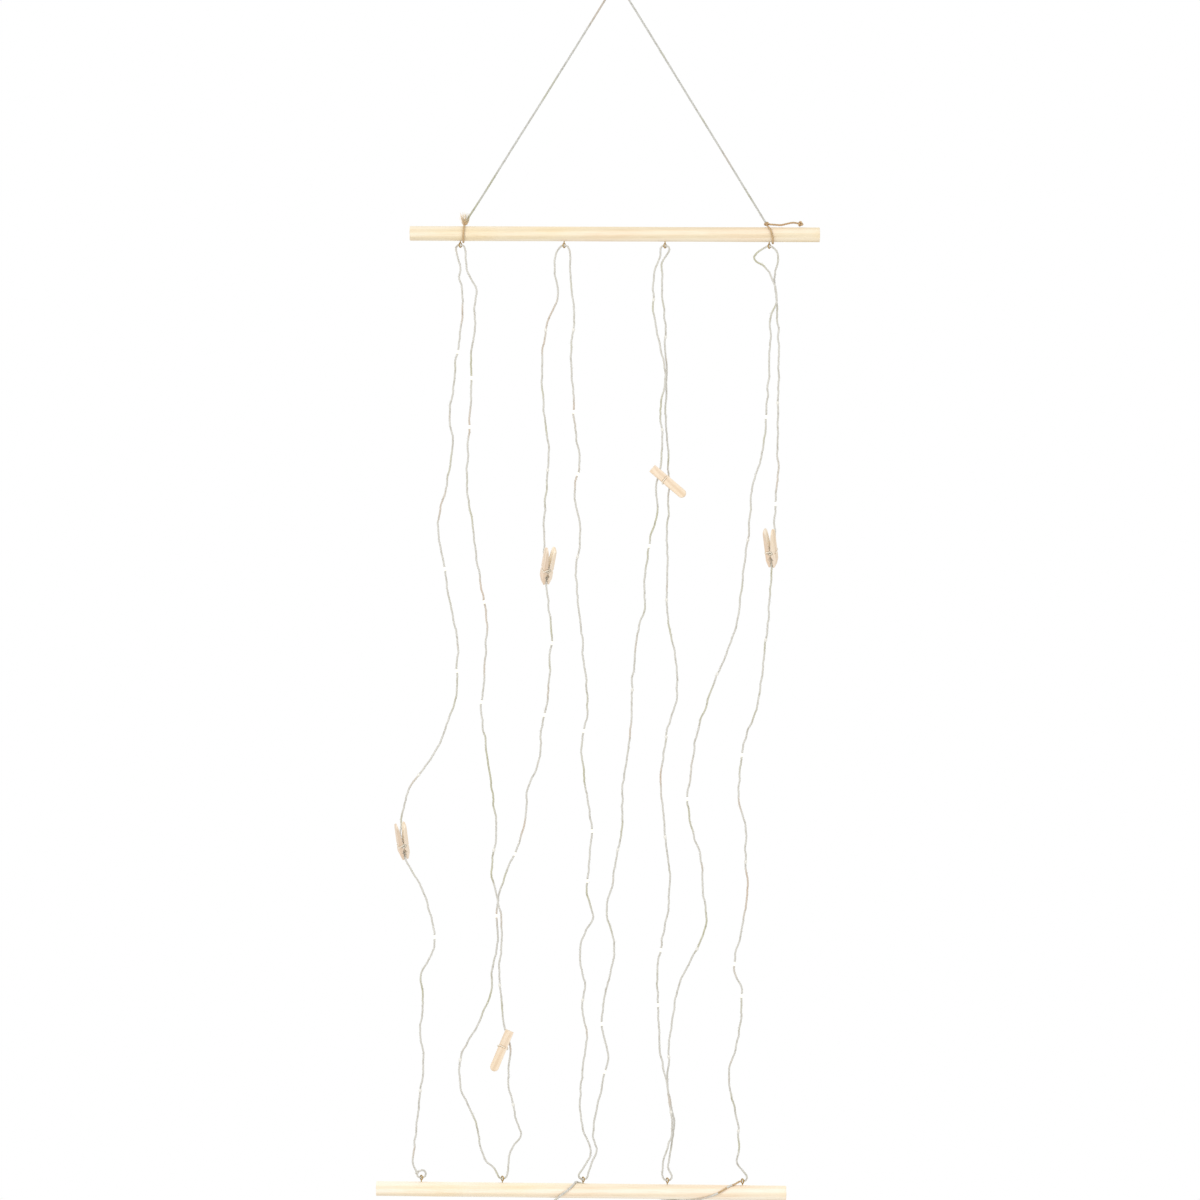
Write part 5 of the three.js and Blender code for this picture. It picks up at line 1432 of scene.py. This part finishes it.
class STRINGLIGHTS_OT_battery_box(bpy.types.Operator):
    """Finishes the battery box: softened casing, cover, switch, cells and contacts"""

    bl_idname = "string_lights.battery_box"
    bl_label = "Battery box"

    def execute(self, context):
        settings = context.scene.string_lights_box
        casing = plastic_material("Casing", settings.casing_colour, 0.42)
        dark = plastic_material("Switch", colour("2E2E30"), 0.5)
        for node, body, material, slot in (
            ("box_shell", "battery_box", casing, "casing"),
            ("box_cover", "box_cover", casing, "casing"),
            ("box_switch", "box_switch", dark, "switch_plastic"),
        ):
            piece = self.soften(node, material, slot, settings.edge_round)
            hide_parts(node)
            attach(piece, body)
        nickel = wire_material("Nickel contacts", colour("C8C6C0"), 0.28)
        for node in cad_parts:
            if node.startswith("contact_"):
                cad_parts[node].data.materials.clear()
                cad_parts[node].data.materials.append(nickel)
        for number, upright in ((1, True), (2, False)):
            node = f"cell_{number}"
            low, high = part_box(node)
            sleeve = self.cell_material(number, low, high, upright)
            cell = self.make_cell(f"{node}_can", low, high, upright, sleeve)
            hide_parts(node)
            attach(cell, "battery_box")
        return {"FINISHED"}

    def make_cell(self, name, low, high, upright, material):
        """A round cell with rolled rims, its nub up or, turned over, down."""
        base = Vector(((low.x + high.x) / 2, (low.y + high.y) / 2, low.z))
        radius = (high.x - low.x) / 2
        whole = high.z - low.z
        can = whole - CELL_NUB_HEIGHT
        rim = [(0, 0.9), (0.1, 0.4), (0.4, 0.1), (0.9, 0)]
        profile = [(rise * MM, radius - cut * MM) for rise, cut in rim]
        profile += [(can - rise * MM, radius - cut * MM) for rise, cut in reversed(rim)]
        profile += [(can, CELL_NUB_RADIUS), (whole - 0.3 * MM, CELL_NUB_RADIUS)]
        profile.append((whole, CELL_NUB_RADIUS - 0.3 * MM))
        if not upright:
            profile = [(whole - rise, reach) for rise, reach in reversed(profile)]
        shape = Shape()
        rings = [shape.circle(base + Vector((0, 0, rise)), reach, CELL_SIDES) for rise, reach in profile]
        shape.join_all(rings)
        shape.cap(rings[0], base, True)
        shape.cap(rings[-1], base + Vector((0, 0, whole)))
        return shape.build(name, material)

    def soften(self, node, material, slot, width):
        """A moulded copy of a node's shape, with its flat faces joined and its edges rounded."""
        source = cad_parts[node].data
        vertices = [v.co.copy() for v in source.vertices]
        faces = [tuple(p.vertices) for p in source.polygons]
        piece = new_piece(f"{node}_moulded", vertices, faces, material, False)
        weld = piece.modifiers.new("Weld", "WELD")
        weld.merge_threshold = 0.01 * MM
        plane = piece.modifiers.new("Flat faces", "DECIMATE")
        plane.decimate_type = "DISSOLVE"
        plane.angle_limit = math.radians(1)
        bevel(piece, width)
        return piece

    def cell_material(self, number, low, high, upright):
        """A plain cell: dark sleeve, a copper band at the nub's end and a bare metal end."""
        steel, sleeve, copper = colour("B8B8B4"), colour("3F464D"), colour("B87B4B")
        finish = Finish(f"Cell sleeve {number}", sleeve, 0.35, 0.6)
        split = finish.add("ShaderNodeSeparateXYZ", {0: finish.own_place()})
        ends = (low.z, high.z) if upright else (high.z, low.z)
        height = finish.add("ShaderNodeMapRange", {
            "Value": split.outputs["Z"],
            "From Min": ends[0],
            "From Max": ends[1],
        })
        stops = [(0.0, steel), (0.025, sleeve), (0.7, copper), (0.95, steel)]
        overall = finish.add("ShaderNodeTexCoord", {}).outputs["Generated"]
        scuff = finish.noise(overall, 400, 3)
        finish.shade({
            "Base Color": finish.ramp(height.outputs["Result"], stops, "CONSTANT"),
            "Roughness": finish.between(scuff, 0.25, 0.45),
        })
        return finish.material


class STRINGLIGHTS_PT_panel(bpy.types.Panel):
    """Lists the pieces of the string lights"""

    bl_idname = "STRINGLIGHTS_PT_panel"
    bl_label = "Photo Clip String Lights"
    bl_space_type = "VIEW_3D"
    bl_region_type = "UI"
    bl_category = "String Lights"

    def draw(self, context):
        layout = self.layout
        for title, settings, operators in (
            ("Cords", context.scene.string_lights_cords, CORD_OPERATORS),
            ("Wood", context.scene.string_lights_wood, WOOD_OPERATORS),
            ("Battery box", context.scene.string_lights_box, BOX_OPERATORS),
        ):
            section = layout.box()
            section.label(text=title)
            for name in settings.__annotations__:
                section.prop(settings, name)
            for operator in operators:
                section.operator(operator.bl_idname)
        layout.operator(STRINGLIGHTS_OT_stage.bl_idname)


CORD_OPERATORS = (STRINGLIGHTS_OT_hanger, STRINGLIGHTS_OT_light_string, STRINGLIGHTS_OT_lead)
WOOD_OPERATORS = (STRINGLIGHTS_OT_dowels, STRINGLIGHTS_OT_screw_eyes, STRINGLIGHTS_OT_clips)
BOX_OPERATORS = (STRINGLIGHTS_OT_battery_box,)
CLASSES = (
    CordSettings,
    WoodSettings,
    BoxSettings,
    STRINGLIGHTS_OT_stage,
    *CORD_OPERATORS,
    *WOOD_OPERATORS,
    *BOX_OPERATORS,
    STRINGLIGHTS_PT_panel,
)
SETTINGS = {
    "string_lights_cords": CordSettings,
    "string_lights_wood": WoodSettings,
    "string_lights_box": BoxSettings,
}


def register():
    for cls in CLASSES:
        bpy.utils.register_class(cls)
    for name, group in SETTINGS.items():
        setattr(bpy.types.Scene, name, bpy.props.PointerProperty(type=group))


def unregister():
    for name in SETTINGS:
        delattr(bpy.types.Scene, name)
    for cls in reversed(CLASSES):
        bpy.utils.unregister_class(cls)


def main():
    register()
    bpy.ops.string_lights.stage()
    bpy.ops.string_lights.hanger()
    bpy.ops.string_lights.light_string()
    bpy.ops.string_lights.lead()
    bpy.ops.string_lights.dowels()
    bpy.ops.string_lights.screw_eyes()
    bpy.ops.string_lights.clips()
    bpy.ops.string_lights.battery_box()


if __name__ == "__main__":
    main()
